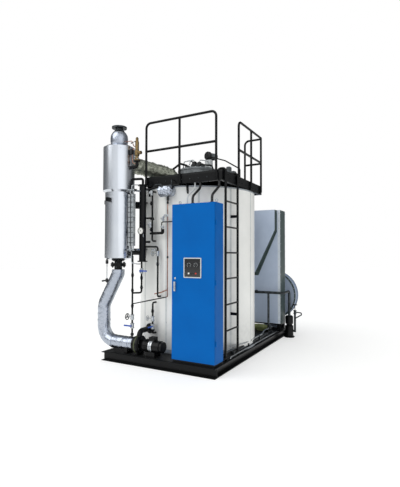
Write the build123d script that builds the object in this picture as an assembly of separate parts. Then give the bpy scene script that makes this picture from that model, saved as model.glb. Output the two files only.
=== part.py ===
from build123d import *
import math
import os

# A vertical once-through steam boiler on a skid, in millimetres.
# The origin is at the centre of the skid's underside, +X runs right along the front,
# +Y runs to the back and +Z is up.

# Small clearances
seat_gap = 0.3
pin_clearance = 0.3
running_gap = 5.0

# Skid
beam_depth = 125.0
beam_width = 125.0
beam_web = 6.5
beam_flange = 9.0
cross_beam_count = 3
deck_thickness = 6.0
deck_inset = 20.0
anchor_hole_radius = 9.0
anchor_edge_distance = 31.0
anchor_end_distance = 286.0

# Boiler casing, and the room that the skid keeps round it
casing_radius = 930.0
casing_wall = 60.0
casing_height = 2320.0
casing_overhang = 8.0
casing_offset = 50.0
back_room_length = 1036.0
panel_count = 12
panel_seam_gap = 3.0
base_ring_height = 50.0
base_ring_width = 120.0
casing_top_thickness = 20.0

# Burner
windbox_radius = 320.0
windbox_height = 400.0
windbox_rim_width = 12.0
windbox_rim_height = 24.0
burner_cover_radius = 290.0
burner_cover_height = 30.0
burner_head_radius = 120.0
burner_head_height = 90.0
burner_head_chamfer = 20.0
cover_taper = 0.9
damper_motor_width = 110.0
damper_motor_depth = 90.0
damper_motor_height = 130.0
damper_motor_fillet = 12.0
gas_pipe_radius = 24.0
gas_pipe_bend = 60.0
gas_pipe_flue_gap = 170.0
gas_pipe_back_distance = 140.0
gas_pipe_top_depth = 60.0
gas_flange_radius = 50.0
gas_flange_thickness = 16.0

# Platform above the casing
platform_width = 1265.0
platform_length = 1543.0
platform_overhang = 13.0
platform_inset = 35.0
walkway_side_gap = 63.0
walkway_front_gap = 191.0
platform_foot_height = 20.0
platform_foot_side = 46.0
foot_end_inset = 120.0
foot_back_inset = 90.0
foot_side_offset = 150.0
channel_height = 115.0
channel_flange = 50.0
channel_web = 7.0
deck_plate = 5.0
joist_width = 40.0
joist_height = 40.0
front_joist_shares = (0.25, 0.5, 0.75)
side_joist_shares = (0.35, 0.7)
bracket_thickness = 8.0
bracket_height = 140.0
bracket_inset = 8.0
bracket_depth = 132.0
bracket_toe_depth = 32.0
bracket_end_inset = 40.0
bracket_pitch = 220.0
bracket_far_distance = 660.0

# Guardrails and ladder
tube_radius = 17.0
rail_height = 840.0
mid_rail_height = 406.0
rail_bend = 75.0
rail_post_depth = 90.0
rail_end_inset = 25.0
ladder_opening_inset = 80.0
cleat_length = 50.0
toe_board_height = 100.0
toe_board_thickness = 4.0
toe_board_gap = 12.0
toe_board_foot_width = 30.0
toe_board_foot_inset = 60.0
right_rail_setback = 528.0
right_rail_bay_length = 495.0
rail_return_length = 310.0
ladder_inset = 69.0
ladder_width = 408.0
ladder_standoff = 3.0
rung_radius = 12.0
rung_pitch = 350.0
first_rung_height = 32.0
hoop_width = 117.0
hoop_bend = 45.0
hoop_height = 48.0
ladder_foot_side = 60.0
ladder_foot_thickness = 8.0
ladder_bracket_height = 40.0
ladder_bracket_thickness = 8.0

# Steam separator
separator_cabinet_distance = 997.0
separator_margin = 136.0
lower_jacket_radius = 197.0
lower_jacket_length = 940.0
upper_jacket_radius = 228.0
upper_jacket_length = 665.0
jacket_step_depth = 81.0
jacket_taper_height = 30.0
jacket_wall = 60.0
cone_height = 60.0
cone_edge_height = 15.0
cone_nozzle_width = 15.0
head_height = 32.0
head_edge_height = 24.0
head_shoulder_width = 40.0
outlet_bulb_radius = 103.0
outlet_bulb_height = 233.0
bulb_chamfer = 12.0
bulb_shoulder_height = 40.0
nozzle_radius = 57.0
nozzle_collar_width = 20.0
flange_radius = 110.0
flange_thickness = 22.0
flange_joint_gap = 2.0
flange_bolt_circle = 90.0
flange_bolt_count = 8
flange_hole_radius = 9.0
outlet_bore = 50.0
outlet_neck_height = 34.0
bottom_nozzle_length = 60.0
bottom_collar_length = 20.0
separator_arm_width = 150.0
separator_arm_thickness = 12.0
separator_rib_height = 90.0
separator_arm_inset = 120.0
lug_length = 70.0
lug_width = 30.0
lug_height = 60.0
lug_depth = 150.0

# Circulation pipes and pump
downcomer_radius = 90.0
downcomer_knee_offset = 265.0
downcomer_knee_share = 0.53
downcomer_neck_length = 60.0
downcomer_top_bend = 100.0
downcomer_knee_bend = 190.0
downcomer_bottom_bend = 220.0
saddle_length = 60.0
saddle_width = 140.0
saddle_offset = 60.0
saddle_wrap_depth = 30.0
pump_distance = 325.0
pump_ground_gap = 7.0
pump_casing_radius = 128.0
pump_casing_length = 110.0
pump_neck_radius = 80.0
pump_neck_length = 16.0
pump_chamfer = 12.0
pump_foot_inset = 50.0
pump_foot_end_inset = 20.0
motor_radius = 84.0
motor_length = 330.0
motor_bell_length = 70.0
motor_bell_depth = 14.0
motor_flange_width = 22.0
motor_flange_thickness = 14.0
motor_foot_length = 140.0
motor_foot_reach = 0.8
fan_cover_radius = 74.0
fan_cover_length = 40.0
terminal_box_side = 90.0
terminal_box_height = 46.0
foot_width = 150.0
discharge_radius = 38.0
discharge_bend = 70.0
discharge_offset = 70.0
discharge_height = 186.0
discharge_flange_width = 35.0
discharge_flange_thickness = 16.0
discharge_flange_distance = 40.0
riser_radius = 85.0
riser_bend = 150.0
riser_side_offset = 230.0
riser_front_offset = 370.0
riser_inlet_height = 480.0
riser_knee_height = 269.0

# Water column, gauges and small pipes at the front
column_separator_distance = 365.0
column_front_distance = 140.0
column_radius = 50.0
column_length = 1120.0
column_top_height = 29.0
column_flange_radius = 72.0
column_flange_thickness = 16.0
balance_pipe_radius = 18.0
balance_pipe_height = 90.0
balance_pipe_inset = 60.0
gauge_offset = 75.0
gauge_front_distance = 160.0
gauge_pitch = 56.0
gauge_width = 38.0
gauge_depth = 50.0
gauge_low_inset = 230.0
gauge_high_inset = 150.0
gauge_slot_depth = 6.0
gauge_slot_inset = 30.0
cock_radius = 15.0
cock_distance = 55.0
cock_overhang = 22.0
cock_length = 45.0
dial_offset = 40.0
dial_height = 444.0
dial_radius = 50.0
dial_depth = 34.0
dial_rim_width = 6.0
dial_glass_depth = 4.0
dial_stem_length = 22.0
small_pipe_radius = 13.0
thin_pipe_radius = 8.0
small_bend = 30.0
thin_bend = 20.0
pressure_pipe_offset = 114.0
front_pipe_offset = 85.0
pressure_pipe_top_depth = 63.0
pressure_pipe_length = 724.0
pressure_tee_height = 122.0
pressure_flange_height = 326.0
pressure_flange_radius = 31.0
pressure_flange_thickness = 18.0
switch_branch_length = 165.0
switch_branch_height = 148.0
cooler_offset = 370.0
cooler_top_depth = 77.0
cooler_radius = 72.0
cooler_length = 210.0
cooler_gap = 10.0
drop_pipe_distance = 45.0
drain_pipe_offset = 265.0
drain_pipe_inset = 30.0
column_drain_offset = 15.0
relief_offset = 16.0
feed_drop_offset = 100.0
feed_drop_depth = 149.0
feed_valve_depth = 99.0
valve_radius = 24.0
valve_length = 70.0
valve_collar = 5.0
valve_collar_length = 12.0
valve_chamfer = 4.0
column_valve_depth = 130.0
lever_length = 120.0
lever_width = 20.0
lever_thickness = 8.0
lever_pivot_radius = 7.0
lever_pivot_proud_length = 2.0
lever_hub_radius = 16.0
handwheel_radius = 42.0
handwheel_rim_radius = 6.0
handwheel_distance = 87.0
safety_valve_offset = 331.0
safety_nozzle_radius = 24.0
safety_nozzle_bend = 36.0
safety_nozzle_height = 360.0
safety_nozzle_length = 90.0
safety_flange_radius = 46.0
safety_flange_thickness = 16.0
safety_body_height = 340.0
safety_outlet_length = 75.0
safety_outlet_height = 110.0

# Heights along the drains, as shares of the drop from the water column to the deck
relief_low_share = 0.207
relief_valve_share = 0.283
drain_valve_share = 0.298
relief_wheel_share = 0.37
drain_wheel_share = 0.392
drop_pipe_end_share = 0.537
relief_high_share = 0.547
feed_drop_low_share = 0.616
drop_pipe_low_share = 0.62
column_drain_share = 0.657

# Control cabinet
cabinet_side_margin = 24.0
cabinet_front_margin = 38.0
cabinet_width = 636.0
cabinet_depth = 250.0
cabinet_back_gap = 88.0
cabinet_headroom_height = 316.0
plinth_height = 30.0
plinth_inset = 12.0
sheet = 3.0
front_lip = 25.0
door_thickness = 22.0
door_edge_gap = 3.0
door_fillet = 8.0
door_fold_width = 12.0
hinge_radius = 7.0
hinge_pin_radius = 3.0
hinge_offset = 8.0
hinge_leaf_thickness = 4.0
hinge_fold_depth = 6.0
knuckle_length = 34.0
hinge_inset = 260.0
panel_side = 260.0
panel_height = 1206.0
panel_proud_depth = 9.0
panel_recess_depth = 14.0
panel_clearance = 2.0
panel_fillet = 10.0
bezel_width = 12.0
bezel_depth = 3.0
panel_cutout_inset = 18.0
lamp_radius = 12.0
lamp_height = 12.0
lamp_pitch = 104.0
lamp_offset = 73.0
handle_inset = 53.0
handle_height = 958.0
handle_width = 28.0
handle_length = 126.0
handle_depth = 20.0
handle_fillet = 10.0
handle_slot_width = 12.0
handle_slot_depth = 6.0
eye_radius = 22.0
eye_wire_radius = 6.0
eye_inset = 42.0
eye_collar_radius = 14.0
eye_collar_height = 10.0
eye_stem_radius = 7.0
eye_stem_height = 14.0
mounting_plate_inset = 50.0
mounting_plate_standoff = 25.0
mounting_plate_thickness = 3.0
standoff_radius = 7.0
standoff_inset = 20.0
device_depth = 62.0
device_inset = 34.0
duct_side = 40.0
rail_device_height = 96.0
drive_height = 250.0
drive_width = 180.0
drive_depth = 120.0
gear_row_count = 5
thin_conduit_radius = 9.0
thick_conduit_radius = 17.0
conduit_bend = 70.0
conduit_height = 110.0
conduit_entry_depth = 80.0
conduit_entry_inset = 25.0
conduit_collar_width = 8.0
conduit_collar_height = 22.0
thin_conduit_inset = 155.0
left_conduit_inset = 238.0
right_conduit_inset = 108.0

# Economizer and fan at the back
economizer_side_margin = 2.0
economizer_width = 1250.0
economizer_gap = 450.0
economizer_depth = 310.0
economizer_ground_gap = 139.0
economizer_top_depth = 156.0
stand_angle_width = 60.0
stand_frame_height = 24.0
cover_depth = 100.0
cover_side_inset = 70.0
cover_far_inset = 80.0
cover_shoulder_height = 375.0
cover_slope_width = 380.0
cover_height = 1155.0
flue_width = 500.0
flue_height = 800.0
flue_top_inset = 115.0
scroll_inset = 270.0
scroll_axis_height = 629.0
scroll_radius = 440.0
scroll_gap = 40.0
scroll_depth = 190.0
scroll_rim_radius = 460.0
scroll_rim_width = 14.0
scroll_foot_width = 360.0
scroll_foot_inset = 30.0
duct_width = 240.0
duct_height = 230.0
duct_top_height = 269.0
fan_outlet_height = 1269.0
fan_motor_radius = 95.0
fan_motor_length = 90.0
fan_motor_cap_radius = 84.0
fan_motor_cap_length = 20.0
feed_pump_gap = 3.0
feed_pump_distance = 240.0
feed_pump_foot_radius = 95.0
feed_pump_foot_height = 16.0
feed_pump_radius = 75.0
feed_pump_height = 400.0
feed_pump_waist_height = 210.0
feed_pump_waist_length = 30.0
feed_pump_taper_height = 12.0
feed_pump_cap_height = 20.0
feed_waist_share = 0.7
feed_motor_share = 0.95
feed_pipe_radius = 24.0
feed_pipe_bend = 50.0
feed_pipe_height = 719.0
feed_pipe_distance = 60.0
feed_branch_inset = 170.0
feed_branch_radius = 20.0
suction_pipe_radius = 20.0
suction_stub_height = 120.0
suction_pipe_gap = 12.0
suction_valve_height = 470.0
suction_loop_width = 175.0
suction_loop_bend = 25.0
suction_loop_radius = 11.0
suction_loop_height = 120.0
suction_wheel_height = 600.0
suction_wheel_radius = 40.0
blowdown_pipe_radius = 17.0
blowdown_edge_distance = 62.0
blowdown_height = 60.0
blowdown_length = 760.0
blowdown_front_distance = 60.0
strainer_radius = 30.0
strainer_length = 110.0
strainer_distance = 330.0

# Positions worked out from the sizes above
front_room_length = cabinet_front_margin + cabinet_depth + cabinet_back_gap
skid_width = 2 * (casing_radius - casing_overhang)
skid_length = front_room_length + 2 * casing_radius + back_room_length
skid_front = -skid_length / 2
skid_right = skid_width / 2
body_x = -casing_offset
body_y = skid_front + front_room_length + casing_radius
casing_front = body_y - casing_radius
casing_back = body_y + casing_radius
casing_right = body_x + casing_radius

deck_top = beam_depth + deck_thickness
casing_bottom = deck_top + base_ring_height
casing_upper = casing_bottom + casing_height
casing_top = casing_upper + casing_top_thickness
platform_bottom = casing_top + platform_foot_height
frame_top = platform_bottom + channel_height
platform_top = frame_top + deck_plate

platform_front = casing_front - platform_overhang
platform_back = platform_front + platform_length
platform_right = casing_right - platform_inset
platform_left = platform_right - platform_width
strip_left = body_x + windbox_radius + windbox_rim_width + walkway_side_gap
strip_back = body_y - windbox_radius - windbox_rim_width - walkway_front_gap
right_rail_start = platform_front + right_rail_setback
right_rail_middle = right_rail_start + right_rail_bay_length
ladder_x = platform_right + tube_radius + ladder_standoff
ladder_left = platform_front + ladder_inset
ladder_right = ladder_left + ladder_width
rung_count = int((platform_top - deck_top - first_rung_height) / rung_pitch)

cabinet_right = skid_right - cabinet_side_margin
cabinet_left = cabinet_right - cabinet_width
separator_x = cabinet_left - separator_cabinet_distance
separator_y = skid_front + separator_margin
upper_jacket_bottom = casing_top - jacket_step_depth
upper_jacket_top = upper_jacket_bottom + upper_jacket_length
lower_jacket_bottom = upper_jacket_bottom - lower_jacket_length
cone_low = lower_jacket_bottom - cone_height
head_high = upper_jacket_top + head_height
bulb_top = head_high + outlet_bulb_height
outlet_face = bulb_top + outlet_neck_height + flange_thickness
nozzle_low = cone_low - bottom_nozzle_length - 2 * flange_thickness - bottom_collar_length

downcomer_knee_x = separator_x - downcomer_knee_offset
pump_axis_z = deck_top + pump_casing_radius + pump_ground_gap
downcomer_drop = nozzle_low - downcomer_neck_length - pump_axis_z
downcomer_knee_z = pump_axis_z + downcomer_drop * downcomer_knee_share
pump_face_x = separator_x + pump_distance
pump_back_x = pump_face_x + pump_casing_length
discharge_x = pump_face_x + discharge_offset
discharge_z = pump_axis_z + discharge_height
riser_foot_x = body_x - riser_side_offset
riser_foot_y = body_y - riser_front_offset
riser_separator_z = upper_jacket_bottom + riser_inlet_height
riser_knee_z = casing_top + riser_knee_height

column_x = separator_x + column_separator_distance
column_y = casing_front - column_front_distance
column_top = casing_top + column_top_height
column_bottom = column_top - column_length
gauge_x = column_x - gauge_offset
gauge_y = column_y - gauge_front_distance
gauge_bottom = column_bottom + gauge_low_inset
gauge_top = column_top - gauge_high_inset
gauge_xs = (gauge_x - gauge_pitch / 2, gauge_x + gauge_pitch / 2)
dial_x = column_x + dial_offset
dial_z = column_bottom + dial_height
pressure_pipe_x = column_x + pressure_pipe_offset
pressure_pipe_top = casing_top - pressure_pipe_top_depth
pressure_pipe_low = pressure_pipe_top - pressure_pipe_length
cooler_x = column_x + cooler_offset
cooler_z = casing_top - cooler_top_depth
drain_pipe_x = separator_x + drain_pipe_offset
column_drain_x = column_x - column_drain_offset
drop_length = column_bottom - deck_top
relief_x = pressure_pipe_x + relief_offset
feed_drop_x = pressure_pipe_x + feed_drop_offset
feed_drop_start = lower_jacket_bottom + feed_drop_depth
safety_valve_x = separator_x + safety_valve_offset
safety_nozzle_z = upper_jacket_bottom + safety_nozzle_height
safety_flange_z = safety_nozzle_z + safety_nozzle_length

cabinet_middle = cabinet_left + cabinet_width / 2
cabinet_front = skid_front + cabinet_front_margin
cabinet_back = cabinet_front + cabinet_depth
cabinet_bottom = deck_top + plinth_height
cabinet_top = casing_top - cabinet_headroom_height
body_front = cabinet_front + door_thickness + running_gap
panel_centre_z = cabinet_bottom + panel_height
handle_x = cabinet_left + handle_inset
handle_z = cabinet_bottom + handle_height
hinge_x = cabinet_right + hinge_offset
hinge_y = body_front - running_gap / 2
hinge_heights = (cabinet_bottom + hinge_inset, (cabinet_bottom + cabinet_top) / 2, cabinet_top - hinge_inset)

economizer_right = skid_right - economizer_side_margin
economizer_left = economizer_right - economizer_width
economizer_front = casing_back + economizer_gap
economizer_back = economizer_front + economizer_depth
economizer_bottom = deck_top + economizer_ground_gap
economizer_top = casing_top - economizer_top_depth
cover_right = economizer_right - cover_side_inset
cover_left = economizer_left + cover_far_inset
cover_toe_x = cover_right - cover_slope_width
scroll_x = economizer_right - scroll_inset
scroll_z = deck_top + scroll_axis_height
scroll_front = economizer_back + scroll_gap
scroll_back = scroll_front + scroll_depth
duct_top = casing_top + duct_top_height
fan_outlet_z = deck_top + fan_outlet_height
feed_pump_x = skid_right + feed_pump_gap + feed_pump_foot_radius
feed_pump_y = economizer_front + feed_pump_distance
feed_pipe_z = deck_top + feed_pipe_height
suction_x = feed_pump_x + feed_pump_radius + suction_pipe_radius + suction_pipe_gap

standing = (Align.CENTER, Align.CENTER, Align.MIN)


def block(x_range, y_range, z_range):
    size = [high - low for low, high in (x_range, y_range, z_range)]
    middle = [(high + low) / 2 for low, high in (x_range, y_range, z_range)]
    return Pos(*middle) * Box(*size)


def rod(start, end, radius):
    run = Vector(end) - Vector(start)
    return Plane(origin=start, z_dir=run) * Cylinder(radius, run.length, align=standing)


def pipe(points, radius, bend):
    if len(points) == 2:
        return rod(points[0], points[1], radius)
    route = FilletPolyline(*points, radius=bend)
    return sweep(Plane(origin=route @ 0, z_dir=route % 0) * Circle(radius), path=route)


def turned(profile, x, y):
    face = make_face(Polyline(*[(radius, 0, z) for radius, z in profile], close=True))
    return Pos(x, y, 0) * revolve(face, Axis.Z)


def turned_along_x(profile, y, z):
    face = make_face(Polyline(*[(x, 0, radius) for x, radius in profile], close=True))
    return Pos(0, y, z) * revolve(face, Axis.X)


def turned_along_y(profile, x, z):
    face = make_face(Polyline(*[(radius, y, 0) for y, radius in profile], close=True))
    return Pos(x, 0, z) * revolve(face, Axis.Y)


def joined(pieces):
    whole = pieces[0]
    for piece in pieces[1:]:
        whole += piece
    return whole


def solids_of(*shapes):
    found = []
    for shape in shapes:
        found.extend(shape.solids())
    return Compound(found)


def casing_envelope(clearance=0.0):
    height = casing_top - deck_top
    return Pos(body_x, body_y, deck_top) * Cylinder(casing_radius + clearance, height, align=standing)


def jacket_envelope(radius):
    height = upper_jacket_top - lower_jacket_bottom
    return Pos(separator_x, separator_y, lower_jacket_bottom) * Cylinder(radius, height, align=standing)


def casing_face_y(x):
    return body_y - math.sqrt(casing_radius**2 - (x - body_x) ** 2)


# Skid: H-section beams, their webs coped to run in between the flanges of the beam that carries them

def h_beam(flange_length, web_length):
    side = (beam_width - beam_web) / 2
    clear = beam_depth - 2 * beam_flange
    section = Rectangle(beam_width, beam_depth)
    for hand in (-1, 1):
        section -= Pos(hand * (beam_web + side) / 2, 0) * Rectangle(side, clear)
    beam = extrude(Plane.YZ * section, amount=flange_length / 2, both=True)
    beam += Box(web_length, beam_web, clear)
    return Pos(0, 0, beam_depth / 2) * beam


def skid_cross_beams():
    end_y = (skid_length - beam_width) / 2
    beams = [Pos(0, hand * end_y, 0) * h_beam(skid_width, skid_width) for hand in (-1, 1)]
    clear = skid_width - 2 * beam_width
    pitch = skid_length / (cross_beam_count + 1)
    for index in range(cross_beam_count):
        y = skid_front + pitch * (index + 1)
        beams.append(Pos(0, y, 0) * h_beam(clear, clear + beam_width - beam_web))
    return solids_of(*beams)


def skid_side_beams():
    clear = skid_length - 2 * beam_width
    beams = []
    for hand in (-1, 1):
        beam = Rot(0, 0, 90) * h_beam(clear, clear + beam_width - beam_web)
        beam = Pos(hand * (skid_width - beam_width) / 2, 0, 0) * beam
        for end in (-1, 1):
            hole_x = hand * (skid_right - anchor_edge_distance)
            hole_y = end * (-skid_front - anchor_end_distance)
            hole = Cylinder(anchor_hole_radius, 2 * beam_flange)
            beam -= Pos(hole_x, hole_y, beam_flange / 2) * hole
        beams.append(beam)
    return solids_of(*beams)


def deck():
    width = skid_width - 2 * deck_inset
    length = skid_length - 2 * deck_inset
    return Pos(0, 0, beam_depth) * Box(width, length, deck_thickness, align=standing)


# Boiler: a ring on the deck, casing panels round it, a top plate, and the burner on top

def base_ring():
    inner = casing_radius - base_ring_width
    return tube_shell(casing_radius, inner, deck_top, casing_bottom, body_x, body_y)


def casing_panels():
    inner = casing_radius - casing_wall
    seam_angle = math.degrees(panel_seam_gap / casing_radius)
    face = Plane.XZ * Pos((inner + casing_radius) / 2, (casing_bottom + casing_upper) / 2) * Rectangle(
        casing_wall, casing_height
    )
    panel = revolve(face, Axis.Z, 360 / panel_count - seam_angle)
    placed = []
    for index in range(panel_count):
        placed.append(Pos(body_x, body_y, 0) * (Rot(0, 0, 360 * index / panel_count) * panel))
    return solids_of(*placed)


def casing_top_plate():
    return Pos(body_x, body_y, casing_upper) * Cylinder(casing_radius, casing_top_thickness, align=standing)


def windbox():
    low = casing_top
    high = casing_top + windbox_height
    edge = windbox_radius + windbox_rim_width
    profile = [
        (0, low), (edge, low), (edge, low + windbox_rim_height), (windbox_radius, low + windbox_rim_height),
        (windbox_radius, high - windbox_rim_height), (edge, high - windbox_rim_height), (edge, high),
        (0, high),
    ]
    return turned(profile, body_x, body_y)


windbox_top = casing_top + windbox_height
cover_top = windbox_top + burner_cover_height


def burner_cover():
    low = windbox_top
    head_top = cover_top + burner_head_height
    profile = [
        (0, low), (burner_cover_radius, low), (burner_cover_radius, low + burner_cover_height / 2),
        (burner_cover_radius * cover_taper, cover_top), (burner_head_radius, cover_top),
        (burner_head_radius, head_top - burner_head_chamfer),
        (burner_head_radius - burner_head_chamfer, head_top),
        (0, head_top),
    ]
    return turned(profile, body_x, body_y)


damper_motor_x = body_x + burner_cover_radius * cover_taper - damper_motor_width / 2


def damper_motor():
    base = block(
        (damper_motor_x - damper_motor_width / 2, damper_motor_x + damper_motor_width / 2),
        (body_y - damper_motor_depth / 2, body_y + damper_motor_depth / 2),
        (cover_top, cover_top + damper_motor_height),
    )
    return fillet(base.edges().filter_by(Axis.Z), damper_motor_fillet)


def gas_pipe():
    x = cover_left + flue_width + gas_pipe_flue_gap
    y = casing_back + gas_pipe_back_distance
    z = windbox_top - gas_pipe_top_depth
    start = (body_x, body_y, z)
    points = [start, (x, body_y, z), (x, y, z), (x, y, casing_bottom + casing_height / 2)]
    run = pipe(points, gas_pipe_radius, gas_pipe_bend) - windbox()
    end = rod(points[-1], (x, y, points[-1][2] - gas_flange_thickness), gas_flange_radius)
    return run + end


# Platform: an L-shaped channel frame on feet above the casing top, with a deck plate

def platform_outline(inset=0.0):
    left = platform_left + inset
    right = platform_right - inset
    front = platform_front + inset
    back = platform_back - inset
    inner_x = strip_left + inset
    inner_y = strip_back - inset
    corners = [
        (left, front), (right, front), (right, back), (inner_x, back), (inner_x, inner_y), (left, inner_y)
    ]
    return make_face(Polyline(*corners, close=True))


def platform_joists():
    low = frame_top - channel_web - joist_height
    top = frame_top
    bars = []
    front = platform_front + channel_web
    inner_y = strip_back - channel_web
    for share in front_joist_shares:
        x = platform_left + share * (platform_right - platform_left)
        bars.append(block((x - joist_width / 2, x + joist_width / 2), (front, inner_y), (low, top)))
    inner_x = strip_left + channel_web
    for share in side_joist_shares:
        y = inner_y + share * (platform_back - inner_y)
        span = (inner_x, platform_right - channel_web)
        bars.append(block(span, (y - joist_width / 2, y + joist_width / 2), (low, top)))
    return bars


def platform_frame():
    frame = Pos(0, 0, platform_bottom) * extrude(platform_outline(), amount=channel_height)
    clear = channel_height - 2 * channel_web
    frame -= Pos(0, 0, platform_bottom + channel_web) * extrude(platform_outline(channel_web), amount=clear)
    frame -= Pos(0, 0, platform_bottom) * extrude(platform_outline(channel_flange), amount=channel_height)
    return joined([frame] + platform_joists())


def platform_deck():
    deck_sheet = Pos(0, 0, frame_top) * extrude(platform_outline(), amount=deck_plate)
    return joined([deck_sheet] + toe_boards())


def platform_feet():
    inner_x = strip_left + channel_flange / 2
    inner_y = strip_back - channel_flange / 2
    places = [
        (platform_left + foot_end_inset, inner_y), (body_x + windbox_radius, inner_y),
        (inner_x, body_y - foot_side_offset), (inner_x, platform_back - foot_back_inset),
        (platform_right - channel_flange / 2, body_y),
    ]
    foot = Box(platform_foot_side, platform_foot_side, platform_foot_height, align=standing)
    return [Pos(x, y, casing_top) * foot for x, y in places]


bracket_start = platform_left + bracket_end_inset
bracket_places = (bracket_start, bracket_start + bracket_pitch, bracket_start + bracket_far_distance)


def platform_brackets():
    front = platform_front + bracket_inset
    back = front + bracket_depth
    toe = front + bracket_toe_depth
    corners = [(front, platform_bottom), (back, platform_bottom), (back, platform_bottom - bracket_height)]
    corners.append((toe, platform_bottom - bracket_height))
    face = make_face(Polyline(*[(0, y, z) for y, z in corners], close=True))
    plate = extrude(face, amount=bracket_thickness / 2, both=True, dir=(1, 0, 0))
    return [Pos(x, 0, 0) * plate - casing_envelope(seat_gap) for x in bracket_places]


def platform_supports():
    return solids_of(*platform_feet(), *platform_brackets())


def cleat(x, y, toward):
    low = platform_bottom + channel_web
    high = frame_top - channel_web
    half = cleat_length / 2
    if toward == "back":
        return block((x - half, x + half), (y, y + tube_radius), (low, high))
    return block((x - tube_radius, x), (y - half, y + half), (low, high))


def front_guardrail():
    y = platform_front - tube_radius
    low = platform_top - rail_post_depth
    top = platform_top + rail_height - tube_radius
    middle = platform_top + mid_rail_height
    left = platform_left + rail_end_inset
    right = platform_right - ladder_opening_inset
    hoop = [(left, y, low), (left, y, top), (right, y, top), (right, y, low)]
    rail = pipe(hoop, tube_radius, rail_bend)
    half = (left + right) / 2
    rail += rod((half, y, low), (half, y, top), tube_radius)
    rail += rod((left, y, middle), (right, y, middle), tube_radius)
    for x in (left, half, right):
        rail += cleat(x, y, "back")
    return rail


def right_guardrail():
    x = platform_right + tube_radius
    low = platform_top - rail_post_depth
    top = platform_top + rail_height - tube_radius
    middle = platform_top + mid_rail_height
    corner = platform_back - rail_bend
    return_x = x - rail_return_length
    return_y = platform_back - tube_radius
    path = [
        (x, right_rail_start, low), (x, right_rail_start, top), (x, return_y, top), (return_x, return_y, top),
        (return_x, return_y, platform_top),
    ]
    rail = pipe(path, tube_radius, rail_bend)
    for y in (right_rail_middle, corner):
        rail += rod((x, y, low), (x, y, top), tube_radius)
    level = [(x, right_rail_start, middle), (x, return_y, middle), (return_x, return_y, middle)]
    rail += pipe(level, tube_radius, rail_bend)
    for y in (right_rail_start, right_rail_middle, corner):
        rail += cleat(x, y, "left")
    return rail


def toe_boards():
    low = platform_top + toe_board_gap
    high = low + toe_board_height
    foot = toe_board_foot_width
    inset = toe_board_foot_inset
    front_end = platform_right - ladder_opening_inset
    front_y = (platform_front, platform_front + toe_board_thickness)
    boards = [block((platform_left, front_end), front_y, (low, high))]
    for x in (platform_left + inset, front_end - inset - foot):
        boards.append(block((x, x + foot), front_y, (frame_top, low)))
    right_end = platform_back - rail_bend
    right_x = (platform_right - toe_board_thickness, platform_right)
    boards.append(block(right_x, (right_rail_start, right_end), (low, high)))
    for y in (right_rail_start + inset, right_end - inset - foot):
        boards.append(block(right_x, (y, y + foot), (frame_top, low)))
    return boards


# Ladder: two bent stiles that hook over the platform edge, with round rungs

def ladder():
    inner = ladder_x - hoop_width
    top = platform_top + hoop_height
    parts = []
    for y in (ladder_left, ladder_right):
        path = [(ladder_x, y, deck_top), (ladder_x, y, top), (inner, y, top), (inner, y, platform_top)]
        parts.append(pipe(path, tube_radius, hoop_bend))
        foot = Box(ladder_foot_side, ladder_foot_side, ladder_foot_thickness, align=standing)
        parts.append(Pos(ladder_x, y, deck_top) * foot)
    for index in range(rung_count):
        z = deck_top + first_rung_height + rung_pitch * index
        parts.append(rod((ladder_x, ladder_left, z), (ladder_x, ladder_right, z), rung_radius))
    return joined(parts + ladder_brackets())


def ladder_brackets():
    bars = []
    for index in (1, rung_count - 2):
        z = deck_top + first_rung_height + rung_pitch * (index + 0.5)
        bar = block(
            (body_x, ladder_x),
            (ladder_right - ladder_bracket_thickness / 2, ladder_right + ladder_bracket_thickness / 2),
            (z - ladder_bracket_height / 2, z + ladder_bracket_height / 2),
        )
        bars.append(bar - casing_envelope(seat_gap))
    return bars


# Steam separator: an insulated vessel beside the boiler, clad in aluminium

def tube_shell(outer, inner, low, high, x, y):
    return turned([(inner, low), (outer, low), (outer, high), (inner, high)], x, y)


def separator_lower_jacket():
    inner = lower_jacket_radius - jacket_wall
    return tube_shell(
        lower_jacket_radius, inner, lower_jacket_bottom, upper_jacket_bottom, separator_x, separator_y
    )


def separator_upper_jacket():
    inner = upper_jacket_radius - jacket_wall
    profile = [
        (lower_jacket_radius - jacket_wall, upper_jacket_bottom), (lower_jacket_radius, upper_jacket_bottom),
        (upper_jacket_radius, upper_jacket_bottom + jacket_taper_height),
        (upper_jacket_radius, upper_jacket_top),
        (inner, upper_jacket_top), (inner, upper_jacket_bottom + 2 * jacket_taper_height),
    ]
    return turned(profile, separator_x, separator_y)


def separator_bottom_cone():
    profile = [
        (0, cone_low), (nozzle_radius + cone_nozzle_width, cone_low),
        (lower_jacket_radius, lower_jacket_bottom - cone_edge_height),
        (lower_jacket_radius, lower_jacket_bottom),
        (0, lower_jacket_bottom),
    ]
    return turned(profile, separator_x, separator_y)


def separator_top_head():
    low = upper_jacket_top
    profile = [
        (0, low), (upper_jacket_radius, low),
        (upper_jacket_radius - head_shoulder_width, low + head_edge_height),
        (outlet_bulb_radius - bulb_chamfer, head_high), (outlet_bulb_radius, head_high + bulb_chamfer),
        (outlet_bulb_radius, bulb_top - bulb_shoulder_height), (nozzle_radius + bulb_chamfer, bulb_top),
        (0, bulb_top),
    ]
    return turned(profile, separator_x, separator_y)


def bolt_holes(x, y, z, length):
    holes = []
    for index in range(flange_bolt_count):
        angle = 2 * math.pi * (index + 0.5) / flange_bolt_count
        spot = (x + flange_bolt_circle * math.cos(angle), y + flange_bolt_circle * math.sin(angle), z)
        holes.append(Pos(*spot) * Cylinder(flange_hole_radius, length))
    return holes


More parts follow.
